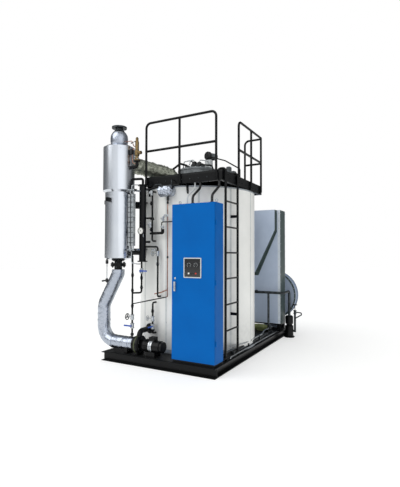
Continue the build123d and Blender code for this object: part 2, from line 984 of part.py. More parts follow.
def steam_outlet():
    low = bulb_top
    profile = [
        (outlet_bore, low), (nozzle_radius, low), (nozzle_radius, outlet_face - flange_thickness),
        (flange_radius, outlet_face - flange_thickness), (flange_radius, outlet_face),
        (outlet_bore, outlet_face),
    ]
    outlet = turned(profile, separator_x, separator_y)
    for hole in bolt_holes(
        separator_x, separator_y, outlet_face - flange_thickness / 2, 2 * flange_thickness
    ):
        outlet -= hole
    return outlet


def downcomer_flanges():
    high_face = cone_low - bottom_nozzle_length / 2
    low_face = high_face - 2 * flange_thickness - flange_joint_gap
    collar = nozzle_radius + nozzle_collar_width
    profile = [
        (0, nozzle_low), (nozzle_radius, nozzle_low), (nozzle_radius, low_face), (flange_radius, low_face),
        (flange_radius, low_face + flange_thickness), (collar, low_face + flange_thickness),
        (collar, high_face - flange_thickness), (flange_radius, high_face - flange_thickness),
        (flange_radius, high_face), (nozzle_radius, high_face), (nozzle_radius, cone_low), (0, cone_low),
    ]
    return turned(profile, separator_x, separator_y)


def separator_brackets():
    arms = []
    run = Vector(body_x - separator_x, body_y - separator_y, 0)
    angle = math.degrees(math.atan2(run.Y, run.X))
    length = run.length - casing_radius / 2
    plate = Box(
        length, separator_arm_width, separator_arm_thickness, align=(Align.MIN, Align.CENTER, Align.CENTER)
    )
    rib = Box(
        length, separator_arm_thickness, separator_rib_height, align=(Align.MIN, Align.CENTER, Align.MAX)
    )
    for z in (lower_jacket_bottom + separator_arm_inset, upper_jacket_bottom - separator_arm_inset):
        arm = Pos(separator_x, separator_y, z) * (Rot(0, 0, angle) * (plate + rib))
        arms.append(arm - casing_envelope(seat_gap) - jacket_envelope(lower_jacket_radius))
    return solids_of(*arms, *separator_lugs())


def separator_lugs():
    lug = block((-lug_length, lower_jacket_radius / 2), (-lug_width / 2, lug_width / 2), (0, lug_height))
    lugs = []
    for angle in (0, 90):
        turned_lug = Rot(0, 0, angle) * (Pos(-lower_jacket_radius, 0, 0) * lug)
        placed = Pos(separator_x, separator_y, upper_jacket_bottom - lug_depth) * turned_lug
        lugs.append(placed - jacket_envelope(lower_jacket_radius))
    return lugs


# Circulation: the downcomer to the pump, the pump's discharge to the boiler, and the riser back

def downcomer():
    x, y = separator_x, separator_y
    start = nozzle_low
    points = [
        (x, y, start), (x, y, start - downcomer_neck_length), (downcomer_knee_x, y, downcomer_knee_z),
        (downcomer_knee_x, y, pump_axis_z), (pump_face_x, y, pump_axis_z),
    ]
    radii = [downcomer_top_bend, downcomer_knee_bend, downcomer_bottom_bend]
    route = FilletPolyline(*points, radius=radii)
    return sweep(Plane(origin=route @ 0, z_dir=route % 0) * Circle(downcomer_radius), path=route)


def downcomer_saddle():
    y = separator_y
    middle = (downcomer_knee_x + downcomer_bottom_bend + pump_face_x) / 2 + saddle_offset
    x_range = (middle - saddle_length / 2, middle + saddle_length / 2)
    y_range = (y - saddle_width / 2, y + saddle_width / 2)
    saddle = block(x_range, y_range, (deck_top, pump_axis_z - saddle_wrap_depth))
    return saddle - rod(
        (x_range[0], y, pump_axis_z), (x_range[1], y, pump_axis_z), downcomer_radius + seat_gap
    )


def pump_casing():
    flange_x = pump_face_x + flange_thickness
    volute_x = flange_x + pump_neck_length
    profile = [
        (pump_face_x, 0), (pump_face_x, flange_radius), (flange_x, flange_radius),
        (flange_x, pump_neck_radius),
        (volute_x, pump_neck_radius), (volute_x, pump_casing_radius),
        (pump_back_x - pump_chamfer, pump_casing_radius),
        (pump_back_x, pump_casing_radius - pump_chamfer), (pump_back_x, 0),
    ]
    casing = turned_along_x(profile, separator_y, pump_axis_z)
    foot = block(
        (pump_face_x + pump_foot_inset, pump_back_x - pump_foot_end_inset),
        (separator_y - foot_width / 2, separator_y + foot_width / 2),
        (deck_top, pump_axis_z - pump_neck_radius),
    )
    return casing + foot


def pump_motor():
    low = pump_back_x
    bell = low + motor_bell_length
    high = low + motor_length
    flange_x = low + motor_flange_thickness
    flange_edge = motor_radius + motor_flange_width
    profile = [
        (low, 0), (low, flange_edge), (flange_x, flange_edge), (flange_x, motor_radius - motor_bell_depth),
        (bell, motor_radius), (high, motor_radius), (high, fan_cover_radius),
        (high + fan_cover_length, fan_cover_radius), (high + fan_cover_length, 0),
    ]
    motor = turned_along_x(profile, separator_y, pump_axis_z)
    middle = (bell + high) / 2
    half = terminal_box_side / 2
    motor += block(
        (middle - half, middle + half), (separator_y - half, separator_y + half),
        (pump_axis_z, pump_axis_z + motor_radius + terminal_box_height),
    )
    motor += block(
        (middle - motor_foot_length / 2, middle + motor_foot_length / 2),
        (separator_y - foot_width / 2, separator_y + foot_width / 2),
        (deck_top, pump_axis_z - motor_radius * motor_foot_reach),
    )
    return motor


def pump_discharge():
    points = [
        (discharge_x, separator_y, pump_axis_z), (discharge_x, separator_y, discharge_z),
        (discharge_x, body_y - casing_radius / 2, discharge_z),
    ]
    run = pipe(points, discharge_radius, discharge_bend)
    face = casing_face_y(discharge_x) - discharge_flange_distance
    flange = (discharge_x, face + discharge_flange_thickness, discharge_z)
    run += rod((discharge_x, face, discharge_z), flange, discharge_radius + discharge_flange_width)
    volute = (pump_back_x, separator_y, pump_axis_z)
    run -= rod((pump_face_x, separator_y, pump_axis_z), volute, pump_casing_radius)
    return run - casing_envelope(seat_gap)


def riser():
    start = (separator_x, separator_y, riser_separator_z)
    points = [start, (riser_foot_x, riser_foot_y, riser_knee_z), (riser_foot_x, riser_foot_y, casing_top)]
    return pipe(points, riser_radius, riser_bend) - jacket_envelope(upper_jacket_radius)


# Water column, gauges and the small pipes in front of the casing

def water_column():
    rim = column_flange_radius
    thick = column_flange_thickness
    profile = [
        (0, column_bottom), (rim, column_bottom), (rim, column_bottom + thick),
        (column_radius, column_bottom + thick),
        (column_radius, column_top - thick), (rim, column_top - thick), (rim, column_top), (0, column_top),
    ]
    return turned(profile, column_x, column_y)


def column_envelope():
    height = column_top - column_bottom
    return Pos(column_x, column_y, column_bottom) * Cylinder(column_radius, height, align=standing)


def separator_pipes():
    high_z = column_top + balance_pipe_height
    low_z = lower_jacket_bottom + balance_pipe_inset
    upper = [
        (column_x, column_y, column_top), (column_x, column_y, high_z), (separator_x, separator_y, high_z)
    ]
    lower = [(column_x, column_y, low_z), (separator_x, separator_y, low_z)]
    top_pipe = pipe(upper, balance_pipe_radius, small_bend) - jacket_envelope(upper_jacket_radius)
    low_pipe = pipe(lower, balance_pipe_radius, small_bend) - jacket_envelope(lower_jacket_radius)
    return solids_of(top_pipe, low_pipe - column_envelope(), safety_nozzle())


def level_gauges():
    gauges = []
    for x in gauge_xs:
        body = block(
            (x - gauge_width / 2, x + gauge_width / 2),
            (gauge_y - gauge_depth / 2, gauge_y + gauge_depth / 2),
            (gauge_bottom, gauge_top),
        )
        slot = block(
            (x - gauge_width / 5, x + gauge_width / 5),
            (gauge_y - gauge_depth, gauge_y - gauge_depth / 2 + gauge_slot_depth),
            (gauge_bottom + gauge_slot_inset, gauge_top - gauge_slot_inset),
        )
        gauges.append(body - slot)
    return solids_of(*gauges)


def gauge_cocks():
    pieces = []
    left = gauge_xs[0] - cock_overhang
    right = gauge_xs[1] + cock_overhang
    for end, z in ((gauge_top, gauge_top + cock_distance), (gauge_bottom, gauge_bottom - cock_distance)):
        manifold = rod((left, gauge_y, z), (right, gauge_y, z), cock_radius * 1.2)
        for x in gauge_xs:
            manifold += rod((x, gauge_y, z), (x, gauge_y, end), cock_radius * 0.8)
            manifold += rod((x, gauge_y, z), (x, gauge_y - cock_length, z), cock_radius * 0.75)
        manifold += rod((gauge_x, gauge_y, z), (column_x, column_y, z), cock_radius * 0.85)
        pieces.append(manifold - column_envelope())
    return solids_of(*pieces)


def pressure_gauge():
    back = column_y - column_radius - dial_stem_length
    front = back - dial_depth
    dial = rod((dial_x, front, dial_z), (dial_x, back, dial_z), dial_radius)
    dial -= rod(
        (dial_x, front, dial_z), (dial_x, front + dial_glass_depth, dial_z), dial_radius - dial_rim_width
    )
    dial += rod((dial_x, back, dial_z), (dial_x, column_y, dial_z), thin_pipe_radius)
    return dial - column_envelope()


def valve_body(x, y, z):
    half = valve_length / 2
    collar = valve_radius + valve_collar
    hexagon = half - valve_collar_length
    waist = hexagon - valve_chamfer
    profile = [
        (0, z - half), (collar, z - half), (collar, z - hexagon), (valve_radius, z - waist),
        (valve_radius, z + waist), (collar, z + hexagon), (collar, z + half), (0, z + half),
    ]
    return turned(profile, x, y)


front_y = casing_face_y(pressure_pipe_x) - front_pipe_offset
lever_front = valve_radius + valve_collar + running_gap
lever_valves = (
    (column_drain_x, column_y, column_bottom - column_valve_depth),
    (drain_pipe_x, separator_y, deck_top + drop_length * drain_valve_share),
    (relief_x, front_y, deck_top + drop_length * relief_valve_share),
)
wheel_valves = (
    (drain_pipe_x, separator_y, deck_top + drop_length * drain_wheel_share),
    (relief_x, front_y, deck_top + drop_length * relief_wheel_share),
    (feed_drop_x, front_y, feed_drop_start - feed_valve_depth),
)


def valve_bodies():
    bodies = []
    for x, y, z in lever_valves:
        stem_end = y - lever_front - lever_thickness - lever_pivot_proud_length
        bodies.append(valve_body(x, y, z) + rod((x, y, z), (x, stem_end, z), lever_pivot_radius))
    for x, y, z in wheel_valves:
        stem_end = x - handwheel_distance - lever_thickness - lever_pivot_proud_length
        bodies.append(valve_body(x, y, z) + rod((x, y, z), (stem_end, y, z), lever_pivot_radius))
    return solids_of(*bodies)


def pressure_pipes():
    x = pressure_pipe_x
    inside = body_y - casing_radius / 2
    route = [(x, inside, pressure_pipe_top), (x, front_y, pressure_pipe_top), (x, front_y, pressure_pipe_low)]
    line = pipe(route + [(x, inside, pressure_pipe_low)], small_pipe_radius, small_bend)
    flange_z = pressure_pipe_low + pressure_flange_height
    line += rod(
        (x, front_y, flange_z), (x, front_y, flange_z - pressure_flange_thickness), pressure_flange_radius
    )
    tee = pressure_pipe_low + pressure_tee_height
    branch_x = x + switch_branch_length
    branch_z = tee + switch_branch_height
    branch = [(x, front_y, tee), (branch_x, front_y, tee), (branch_x, front_y, branch_z)]
    line += pipe(branch + [(cabinet_left, front_y, branch_z)], thin_pipe_radius, thin_bend)
    line -= block((cabinet_left, cabinet_right), (cabinet_front, cabinet_back), (cabinet_bottom, cabinet_top))
    return line - casing_envelope(seat_gap)


def thin_drop_pipe():
    y = casing_face_y(cooler_x) - drop_pipe_distance
    low = deck_top + drop_length * drop_pipe_low_share
    end = (drain_pipe_x, separator_y, deck_top + drop_length * drop_pipe_end_share)
    return pipe([(cooler_x, y, cooler_z), (cooler_x, y, low), end], thin_pipe_radius, thin_bend)


def drain_pipes():
    y = separator_y
    inside = body_y - casing_radius / 2
    high = lower_jacket_bottom + drain_pipe_inset
    join = deck_top + drop_length * column_drain_share
    main_points = [(separator_x, y, high), (drain_pipe_x, y, high), (drain_pipe_x, y, pump_axis_z)]
    main = pipe(main_points, small_pipe_radius, small_bend)
    column_points = [(column_drain_x, column_y, column_bottom), (column_drain_x, column_y, join)]
    column = pipe(column_points + [(drain_pipe_x, y, join)], small_pipe_radius, small_bend)
    lines = main + column + thin_drop_pipe()
    lines -= rod((downcomer_knee_x, y, pump_axis_z), (pump_face_x, y, pump_axis_z), downcomer_radius)
    lines -= cooler_barrel()
    top = deck_top + drop_length * relief_high_share
    low = deck_top + drop_length * relief_low_share
    relief_points = [(relief_x, inside, top), (relief_x, front_y, top), (relief_x, front_y, low)]
    relief = pipe(relief_points + [(relief_x, inside, low)], small_pipe_radius, small_bend)
    end = deck_top + drop_length * feed_drop_low_share
    start = feed_drop_start
    drop_points = [(column_x, column_y, start), (feed_drop_x, front_y, start), (feed_drop_x, front_y, end)]
    drop = pipe(drop_points + [(feed_drop_x, inside, end)], small_pipe_radius, small_bend)
    valves = joined([valve_body(*place) for place in lever_valves + wheel_valves])
    cutters = [casing_envelope(seat_gap), column_envelope(), jacket_envelope(lower_jacket_radius), valves]
    placed = []
    for line in (lines, relief, drop):
        for cutter in cutters:
            line -= cutter
        placed.append(line)
    return solids_of(*placed)


def hand_wheel(radius):
    middle = lever_thickness / 2
    wheel = Pos(0, 0, middle) * Torus(radius, handwheel_rim_radius)
    wheel += Cylinder(lever_hub_radius, lever_thickness, align=standing)
    for angle in (0, 120, 240):
        spoke = Pos(radius / 2, 0, middle) * Box(radius, lever_thickness, lever_thickness)
        wheel += Rot(0, 0, angle) * spoke
    return wheel - Cylinder(lever_pivot_radius + pin_clearance, lever_thickness, align=standing)


def drain_handwheel():
    x, y, z = wheel_valves[0]
    return Pos(x - handwheel_distance, y, z) * (Rot(0, -90, 0) * hand_wheel(handwheel_radius))


def valve_lever(place, direction):
    x, y, z = place
    front = y - lever_front
    back = front - lever_thickness
    hub = rod((x, front, z), (x, back, z), lever_hub_radius)
    half = lever_width / 2
    span = (x, x + lever_length) if direction > 0 else (x - lever_length, x)
    blade = block(span, (back, front), (z - half, z + half))
    lever = hub + blade
    return lever - rod((x, front, z), (x, back, z), lever_pivot_radius + pin_clearance)


cooler_y = casing_face_y(cooler_x) - cooler_radius - cooler_gap


def cooler_barrel():
    half = cooler_length / 2
    return rod((cooler_x - half, cooler_y, cooler_z), (cooler_x + half, cooler_y, cooler_z), cooler_radius)


def sample_cooler():
    y = cooler_y
    barrel = cooler_barrel()
    barrel += rod(
        (cooler_x, y, cooler_z), (cooler_x, body_y - casing_radius / 2, cooler_z), small_pipe_radius
    )
    return barrel - casing_envelope(seat_gap)


def safety_nozzle():
    y = separator_y
    x = safety_valve_x
    route = [(separator_x, y, safety_nozzle_z), (x, y, safety_nozzle_z), (x, y, safety_flange_z)]
    nozzle = pipe(route, safety_nozzle_radius, safety_nozzle_bend) - jacket_envelope(upper_jacket_radius)
    low = safety_flange_z - safety_flange_thickness
    return nozzle + rod((x, y, low), (x, y, safety_flange_z), safety_flange_radius)


def safety_valve():
    low = safety_flange_z
    edge = safety_flange_radius
    tall = safety_body_height
    shape = [
        (0, 0), (edge, 0), (edge, safety_flange_thickness), (edge * 0.55, tall * 0.07),
        (edge * 0.55, tall * 0.18),
        (edge * 0.8, tall * 0.24), (edge * 0.8, tall * 0.41), (edge * 0.6, tall * 0.45),
        (edge * 0.6, tall * 0.8),
        (edge * 0.45, tall * 0.83), (edge * 0.45, tall * 0.95), (edge * 0.25, tall), (0, tall),
    ]
    body = turned([(radius, low + height) for radius, height in shape], safety_valve_x, separator_y)
    start = (safety_valve_x, separator_y, low + safety_outlet_height)
    end = (safety_valve_x + safety_outlet_length, separator_y, low + safety_outlet_height)
    return body + rod(start, end, safety_nozzle_radius)


# Control cabinet: a sheet-metal body with a hinged door on its right-hand edge

def cabinet_plinth():
    return block(
        (cabinet_left + plinth_inset, cabinet_right - plinth_inset),
        (cabinet_front + plinth_inset, cabinet_back - plinth_inset), (deck_top, cabinet_bottom),
    )


def cabinet_body():
    shell = block((cabinet_left, cabinet_right), (body_front, cabinet_back), (cabinet_bottom, cabinet_top))
    shell -= block(
        (cabinet_left + sheet, cabinet_right - sheet), (body_front + sheet, cabinet_back - sheet),
        (cabinet_bottom + sheet, cabinet_top - sheet),
    )
    shell -= block(
        (cabinet_left + front_lip, cabinet_right - front_lip), (body_front, body_front + sheet),
        (cabinet_bottom + front_lip, cabinet_top - front_lip),
    )
    for z in hinge_heights:
        shell += fixed_knuckle(z)
    return shell


def fixed_knuckle(z):
    leaf = block(
        (cabinet_right, hinge_x), (body_front, body_front + hinge_leaf_thickness), (z, z + knuckle_length)
    )
    barrel = rod((hinge_x, hinge_y, z), (hinge_x, hinge_y, z + knuckle_length), hinge_radius)
    pin = rod((hinge_x, hinge_y, z - knuckle_length), (hinge_x, hinge_y, z), hinge_pin_radius)
    return leaf + barrel + pin


def door_knuckle(z):
    low = z - knuckle_length - pin_clearance
    high = z - pin_clearance
    back = cabinet_front + door_thickness
    leaf = block((cabinet_right, hinge_x), (back - hinge_fold_depth, back), (low, high))
    start = (hinge_x, hinge_y, low)
    end = (hinge_x, hinge_y, high)
    return leaf + rod(start, end, hinge_radius) - rod(start, end, hinge_pin_radius + pin_clearance)


def panel_box(grow, y_range):
    half = panel_side / 2 + grow
    return block(
        (cabinet_middle - half, cabinet_middle + half), y_range, (
            panel_centre_z - half, panel_centre_z + half
        )
    )


def cabinet_door():
    low = cabinet_bottom + door_edge_gap
    high = cabinet_top - door_edge_gap
    back = cabinet_front + door_thickness
    leaf = block((cabinet_left, cabinet_right), (cabinet_front, back), (low, high))
    leaf = fillet(leaf.edges().filter_by(Axis.Z).group_by(Axis.Y)[0], door_fillet)
    fold = door_fold_width
    inside = (cabinet_left + fold, cabinet_right - fold)
    leaf -= block(inside, (cabinet_front + sheet, back), (low + fold, high - fold))
    leaf -= panel_box(-panel_cutout_inset, (cabinet_front, cabinet_front + sheet))
    for z in hinge_heights:
        leaf += door_knuckle(z)
    return leaf


def operator_panel():
    front = cabinet_front - panel_proud_depth
    bezel = panel_box(0, (front, cabinet_front))
    bezel = fillet(bezel.edges().filter_by(Axis.Y), panel_fillet)
    bezel -= panel_box(-bezel_width, (front, front + bezel_depth))
    insert = panel_box(
        -panel_cutout_inset - panel_clearance, (cabinet_front, cabinet_front + panel_recess_depth)
    )
    return bezel + insert


def indicator_lamps():
    lamps = []
    z = panel_centre_z - lamp_offset
    face = cabinet_front - panel_proud_depth + bezel_depth
    for hand in (-1, 1):
        x = cabinet_middle + hand * lamp_pitch / 2
        cap = [(face, 0), (face, lamp_radius), (face - lamp_height / 2, lamp_radius)]
        cap += [(face - lamp_height, lamp_radius / 2), (face - lamp_height, 0)]
        lamps.append(turned_along_y(cap, x, z))
    return solids_of(*lamps)


def door_handle():
    plate = block(
        (handle_x - handle_width / 2, handle_x + handle_width / 2),
        (cabinet_front - handle_depth, cabinet_front),
        (handle_z - handle_length / 2, handle_z + handle_length / 2),
    )
    plate = fillet(plate.edges().filter_by(Axis.Y), handle_fillet)
    recess = block(
        (handle_x - handle_slot_width / 2, handle_x + handle_slot_width / 2),
        (cabinet_front - handle_depth, cabinet_front - handle_depth + handle_slot_depth),
        (handle_z - handle_length / 3, handle_z + handle_length / 3),
    )
    return plate - recess


def lifting_eyes():
    eyes = []
    y = (body_front + cabinet_back) / 2
    for x in (cabinet_left + eye_inset, cabinet_right - eye_inset):
        z = cabinet_top + eye_stem_height + eye_radius
        ring = Pos(x, y, z) * (Rot(90, 0, 0) * Torus(eye_radius - eye_wire_radius, eye_wire_radius))
        collar = Pos(x, y, cabinet_top) * Cylinder(eye_collar_radius, eye_collar_height, align=standing)
        stem = Cylinder(eye_stem_radius, eye_stem_height + eye_wire_radius, align=standing)
        eyes.append(ring + collar + Pos(x, y, cabinet_top) * stem)
    return solids_of(*eyes)


def mounting_plate():
    inset = mounting_plate_inset
    back = cabinet_back - sheet
    front = back - mounting_plate_standoff
    plate = block(
        (cabinet_left + inset, cabinet_right - inset), (front - mounting_plate_thickness, front),
        (cabinet_bottom + inset, cabinet_top - inset),
    )
    edge = inset + standoff_inset
    for x in (cabinet_left + edge, cabinet_right - edge):
        for z in (cabinet_bottom + edge, cabinet_top - edge):
            plate += rod((x, front, z), (x, back, z), standoff_radius)
    return joined([plate] + control_gear(front - mounting_plate_thickness))


def control_gear(back):
    left = cabinet_left + mounting_plate_inset + device_inset
    right = cabinet_right - mounting_plate_inset - device_inset
    low = cabinet_bottom + mounting_plate_inset + device_inset
    high = cabinet_top - mounting_plate_inset - device_inset
    pitch = (high - low - duct_side) / gear_row_count
    pieces = []
    for index in range(gear_row_count + 1):
        z = low + pitch * index
        pieces.append(block((left, right), (back - device_depth * 0.9, back), (z, z + duct_side)))
    for index in range(1, gear_row_count):
        z = low + pitch * (index + 0.5) + duct_side / 2
        pieces.append(
            block(
                (left + duct_side, right), (back - device_depth, back), (
                    z - rail_device_height / 2, z + rail_device_height / 2
                )
            )
        )
    drive_x = left + duct_side
    drive_z = low + duct_side + (pitch - duct_side - drive_height) / 2
    pieces.append(
        block((drive_x, drive_x + drive_width), (back - drive_depth, back), (drive_z, drive_z + drive_height))
    )
    return pieces


conduit_y = (body_front + cabinet_back) / 2


def conduits():
    under = platform_bottom - seat_gap
    back_y = platform_front + conduit_entry_inset
    places = (
        (cabinet_left + thin_conduit_inset, thin_conduit_radius),
        (cabinet_left + left_conduit_inset, thick_conduit_radius),
        (cabinet_right - right_conduit_inset, thick_conduit_radius),
    )
    runs = []
    for x, radius in places:
        start = (x, conduit_y, cabinet_top)
        path = [start, (x, conduit_y, cabinet_top + conduit_height)]
        path += [(x, back_y, under - conduit_entry_depth), (x, back_y, under)]
        collar = rod(
            start, (x, conduit_y, cabinet_top + conduit_collar_height), radius + conduit_collar_width
        )
        runs.append(pipe(path, radius, conduit_bend) + collar)
    return solids_of(*runs)


# Economizer, flue and fan at the back of the skid

def economizer_stand():
    legs = []
    for x in (economizer_left, economizer_right - stand_angle_width):
        for y in (economizer_front, economizer_back - stand_angle_width):
            legs.append(
                block((x, x + stand_angle_width), (y, y + stand_angle_width), (deck_top, economizer_bottom))
            )
    frame = block(
        (economizer_left, economizer_right), (economizer_front, economizer_back),
        (economizer_bottom - stand_frame_height, economizer_bottom),
    )
    frame -= block(
        (economizer_left + stand_angle_width, economizer_right - stand_angle_width),
        (economizer_front + stand_angle_width, economizer_back - stand_angle_width),
        (economizer_bottom - stand_frame_height, economizer_bottom),
    )
    return joined([frame] + legs)


def economizer_box():
    return block(
        (economizer_left, economizer_right), (economizer_front, economizer_back), (
            economizer_bottom, economizer_top
        )
    )


def flue_cover():
    shoulder = economizer_top - cover_shoulder_height
    toe = economizer_top - cover_height
    corners = [
        (cover_left, economizer_top), (cover_right, economizer_top), (cover_right, shoulder),
        (cover_toe_x, toe),
        (cover_left, toe),
    ]
    face = make_face(Polyline(*[(x, economizer_front, z) for x, z in corners], close=True))
    return extrude(face, amount=cover_depth, dir=(0, -1, 0)) + flue_duct()


def flue_duct():
    top = economizer_top - flue_top_inset
    duct = block(
        (cover_left, cover_left + flue_width), (body_y, economizer_front - cover_depth), (
            top - flue_height, top
        )
    )
    return duct - casing_envelope(seat_gap)


def fan_scroll():
    edge = scroll_rim_radius
    front_rim = scroll_front + scroll_rim_width
    back_rim = scroll_back - scroll_rim_width
    profile = [
        (scroll_front, 0), (scroll_front, edge), (front_rim, edge), (front_rim, scroll_radius),
        (back_rim, scroll_radius), (back_rim, edge), (scroll_back, edge), (scroll_back, 0),
    ]
    scroll = turned_along_y(profile, scroll_x, scroll_z)
    left = scroll_x - scroll_radius
    scroll += block((left, left + duct_width), (scroll_front, scroll_back), (scroll_z, fan_outlet_z))
    foot = block(
        (scroll_x - scroll_foot_width / 2, scroll_x + scroll_foot_width / 2),
        (scroll_front + scroll_foot_inset, scroll_back - scroll_foot_inset), (deck_top, scroll_z),
    )
    return scroll + foot


def fan_motor():
    cap = scroll_back + fan_motor_length
    end = cap + fan_motor_cap_length
    profile = [
        (scroll_back, 0), (scroll_back, fan_motor_radius), (cap, fan_motor_radius),
        (cap, fan_motor_cap_radius),
        (end, fan_motor_cap_radius), (end, 0),
    ]
    return turned_along_y(profile, scroll_x, scroll_z)


def air_duct():
    right = scroll_x - scroll_radius + duct_width
    riser_x = (body_x - duct_width / 2, body_x + duct_width / 2)
    depth = (scroll_front, scroll_back)
    low = duct_top - duct_height
    cross = block((riser_x[0], right), depth, (fan_outlet_z, fan_outlet_z + duct_height))
    riser_box = block(riser_x, depth, (fan_outlet_z, duct_top))
    over = block(riser_x, (body_y, scroll_back), (low, duct_top))
    over -= Pos(body_x, body_y, low) * Cylinder(windbox_radius + seat_gap, duct_height, align=standing)
    return cross + riser_box + over


def feed_pump():
    foot = feed_pump_foot_radius
    waist = feed_pump_radius * feed_waist_share
    motor = feed_pump_radius * feed_motor_share
    taper = feed_pump_taper_height
    waist_low = feed_pump_waist_height + taper
    waist_high = feed_pump_waist_height + feed_pump_waist_length
    profile = [
        (0, 0), (foot, 0), (foot, feed_pump_foot_height), (feed_pump_radius, feed_pump_foot_height + taper),
        (feed_pump_radius, feed_pump_waist_height), (waist, waist_low), (waist, waist_high),
        (motor, waist_high + taper),
        (motor, feed_pump_height - feed_pump_cap_height), (waist, feed_pump_height), (0, feed_pump_height),
    ]
    return turned(profile, feed_pump_x, feed_pump_y)


def feed_pipes():
    z = feed_pipe_z
    y = economizer_front - cover_depth - feed_pipe_distance
    points = [
        (cover_toe_x, economizer_front, z), (cover_toe_x, y, z), (feed_pump_x, y, z),
        (feed_pump_x, feed_pump_y, z),
        (feed_pump_x, feed_pump_y, feed_pump_height),
    ]
    branch_x = economizer_right - feed_branch_inset
    branch = rod((branch_x, y, z), (branch_x, y, deck_top), feed_branch_radius)
    return solids_of(pipe(points, feed_pipe_radius, feed_pipe_bend) + branch, suction_pipe(), blowdown_pipe())


def suction_pipe():
    x = suction_x
    y = feed_pump_y
    stub = suction_stub_height
    stack = rod((x, y, stub - suction_pipe_radius), (x, y, suction_valve_height), suction_pipe_radius)
    stack += rod((feed_pump_x, y, stub), (x, y, stub), suction_pipe_radius)
    stack -= Pos(feed_pump_x, y, 0) * Cylinder(feed_pump_radius, feed_pump_waist_height, align=standing)
    stack += valve_body(x, y, suction_valve_height)
    stem_end = suction_wheel_height + lever_thickness + lever_pivot_proud_length
    stack += rod((x, y, suction_valve_height), (x, y, stem_end), lever_pivot_radius)
    high = suction_valve_height
    low = high - suction_loop_height
    loop = [(x, y, high), (x + suction_loop_width, y, high - suction_loop_radius), (x, y, low)]
    return stack + pipe(loop, suction_loop_radius, suction_loop_bend)


def blowdown_pipe():
    x = skid_right - blowdown_edge_distance
    z = deck_top + blowdown_height
    front = casing_front + casing_radius + blowdown_front_distance
    back = front + blowdown_length
    route = [(body_x, front, z), (x, front, z), (x, back, z), (x, back, deck_top)]
    inside = Cylinder(casing_radius + seat_gap, base_ring_height + casing_height, align=standing)
    run = pipe(route, blowdown_pipe_radius, small_bend) - Pos(body_x, body_y, deck_top) * inside
    middle = front + strainer_distance
    strainer = rod((x, middle, z), (x, middle + strainer_length, z), strainer_radius)
    return run + strainer


def suction_wheel():
    return Pos(suction_x, feed_pump_y, suction_wheel_height) * hand_wheel(suction_wheel_radius)


NODES = {
    "skid_side_beams": skid_side_beams,
    "skid_cross_beams": skid_cross_beams,
    "skid_deck": deck,
    "base_ring": base_ring,
    "casing_panels": casing_panels,
    "casing_top": casing_top_plate,
    "windbox": windbox,
    "burner_cover": burner_cover,
    "damper_motor": damper_motor,
    "gas_pipe": gas_pipe,
    "platform_frame": platform_frame,
    "platform_deck": platform_deck,
    "platform_supports": platform_supports,
    "front_guardrail": front_guardrail,
    "right_guardrail": right_guardrail,
    "ladder": ladder,
    "separator_lower_jacket": separator_lower_jacket,
    "separator_upper_jacket": separator_upper_jacket,
    "separator_bottom_cone": separator_bottom_cone,
    "separator_top_head": separator_top_head,
    "steam_outlet": steam_outlet,
    "separator_brackets": separator_brackets,
    "separator_pipes": separator_pipes,
    "downcomer_flanges": downcomer_flanges,
    "downcomer": downcomer,
    "downcomer_saddle": downcomer_saddle,
    "pump_casing": pump_casing,
    "pump_motor": pump_motor,
    "pump_discharge": pump_discharge,
    "riser": riser,
    "water_column": water_column,
    "level_gauges": level_gauges,
    "gauge_cocks": gauge_cocks,
    "pressure_gauge": pressure_gauge,
    "valve_bodies": valve_bodies,
    "pressure_pipes": pressure_pipes,
    "drain_pipes": drain_pipes,
    "column_valve_lever": lambda: valve_lever(lever_valves[0], 1),
    "drain_valve_lever": lambda: valve_lever(lever_valves[1], -1),
    "drain_handwheel": drain_handwheel,
    "sample_cooler": sample_cooler,
    "safety_valve": safety_valve,
    "cabinet_plinth": cabinet_plinth,
    "cabinet_body": cabinet_body,
    "mounting_plate": mounting_plate,
    "cabinet_door": cabinet_door,
    "operator_panel": operator_panel,
    "indicator_lamps": indicator_lamps,
    "door_handle": door_handle,
    "lifting_eyes": lifting_eyes,
    "conduits": conduits,
    "economizer_stand": economizer_stand,
    "economizer_box": economizer_box,
    "flue_cover": flue_cover,
    "fan_scroll": fan_scroll,
    "fan_motor": fan_motor,
    "air_duct": air_duct,
    "feed_pump": feed_pump,
    "feed_pipes": feed_pipes,
    "suction_wheel": suction_wheel,
}

os.makedirs("parts", exist_ok=True)
for name, make in NODES.items():
    export_step(make(), f"parts/{name}.step")
    print(name)
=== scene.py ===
import math

import bmesh
import bpy
from mathutils import Matrix, Vector, noise


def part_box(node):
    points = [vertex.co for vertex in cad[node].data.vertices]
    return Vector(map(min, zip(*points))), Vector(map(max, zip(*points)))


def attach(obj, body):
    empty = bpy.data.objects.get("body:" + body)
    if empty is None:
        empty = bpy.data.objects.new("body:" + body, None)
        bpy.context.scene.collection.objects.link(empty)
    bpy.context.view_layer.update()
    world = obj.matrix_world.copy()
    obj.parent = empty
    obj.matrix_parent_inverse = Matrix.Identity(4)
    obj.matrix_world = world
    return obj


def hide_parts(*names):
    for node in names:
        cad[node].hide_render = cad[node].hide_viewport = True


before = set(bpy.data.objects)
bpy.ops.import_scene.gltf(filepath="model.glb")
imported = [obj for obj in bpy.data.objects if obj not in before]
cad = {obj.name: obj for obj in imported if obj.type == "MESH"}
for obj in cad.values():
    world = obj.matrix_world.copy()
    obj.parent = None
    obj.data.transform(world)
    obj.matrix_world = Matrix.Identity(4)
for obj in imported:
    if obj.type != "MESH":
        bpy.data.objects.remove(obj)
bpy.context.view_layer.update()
print("frame loaded:", len(cad), "nodes")


def linear(hexColour):  # sRGB hex to the linear colour that a shader wants
    parts = [int(hexColour[i:i + 2], 16) / 255 for i in (1, 3, 5)]
    return tuple(c / 12.92 if c <= 0.04045 else ((c + 0.055) / 1.055) ** 2.4 for c in parts) + (1.0,)


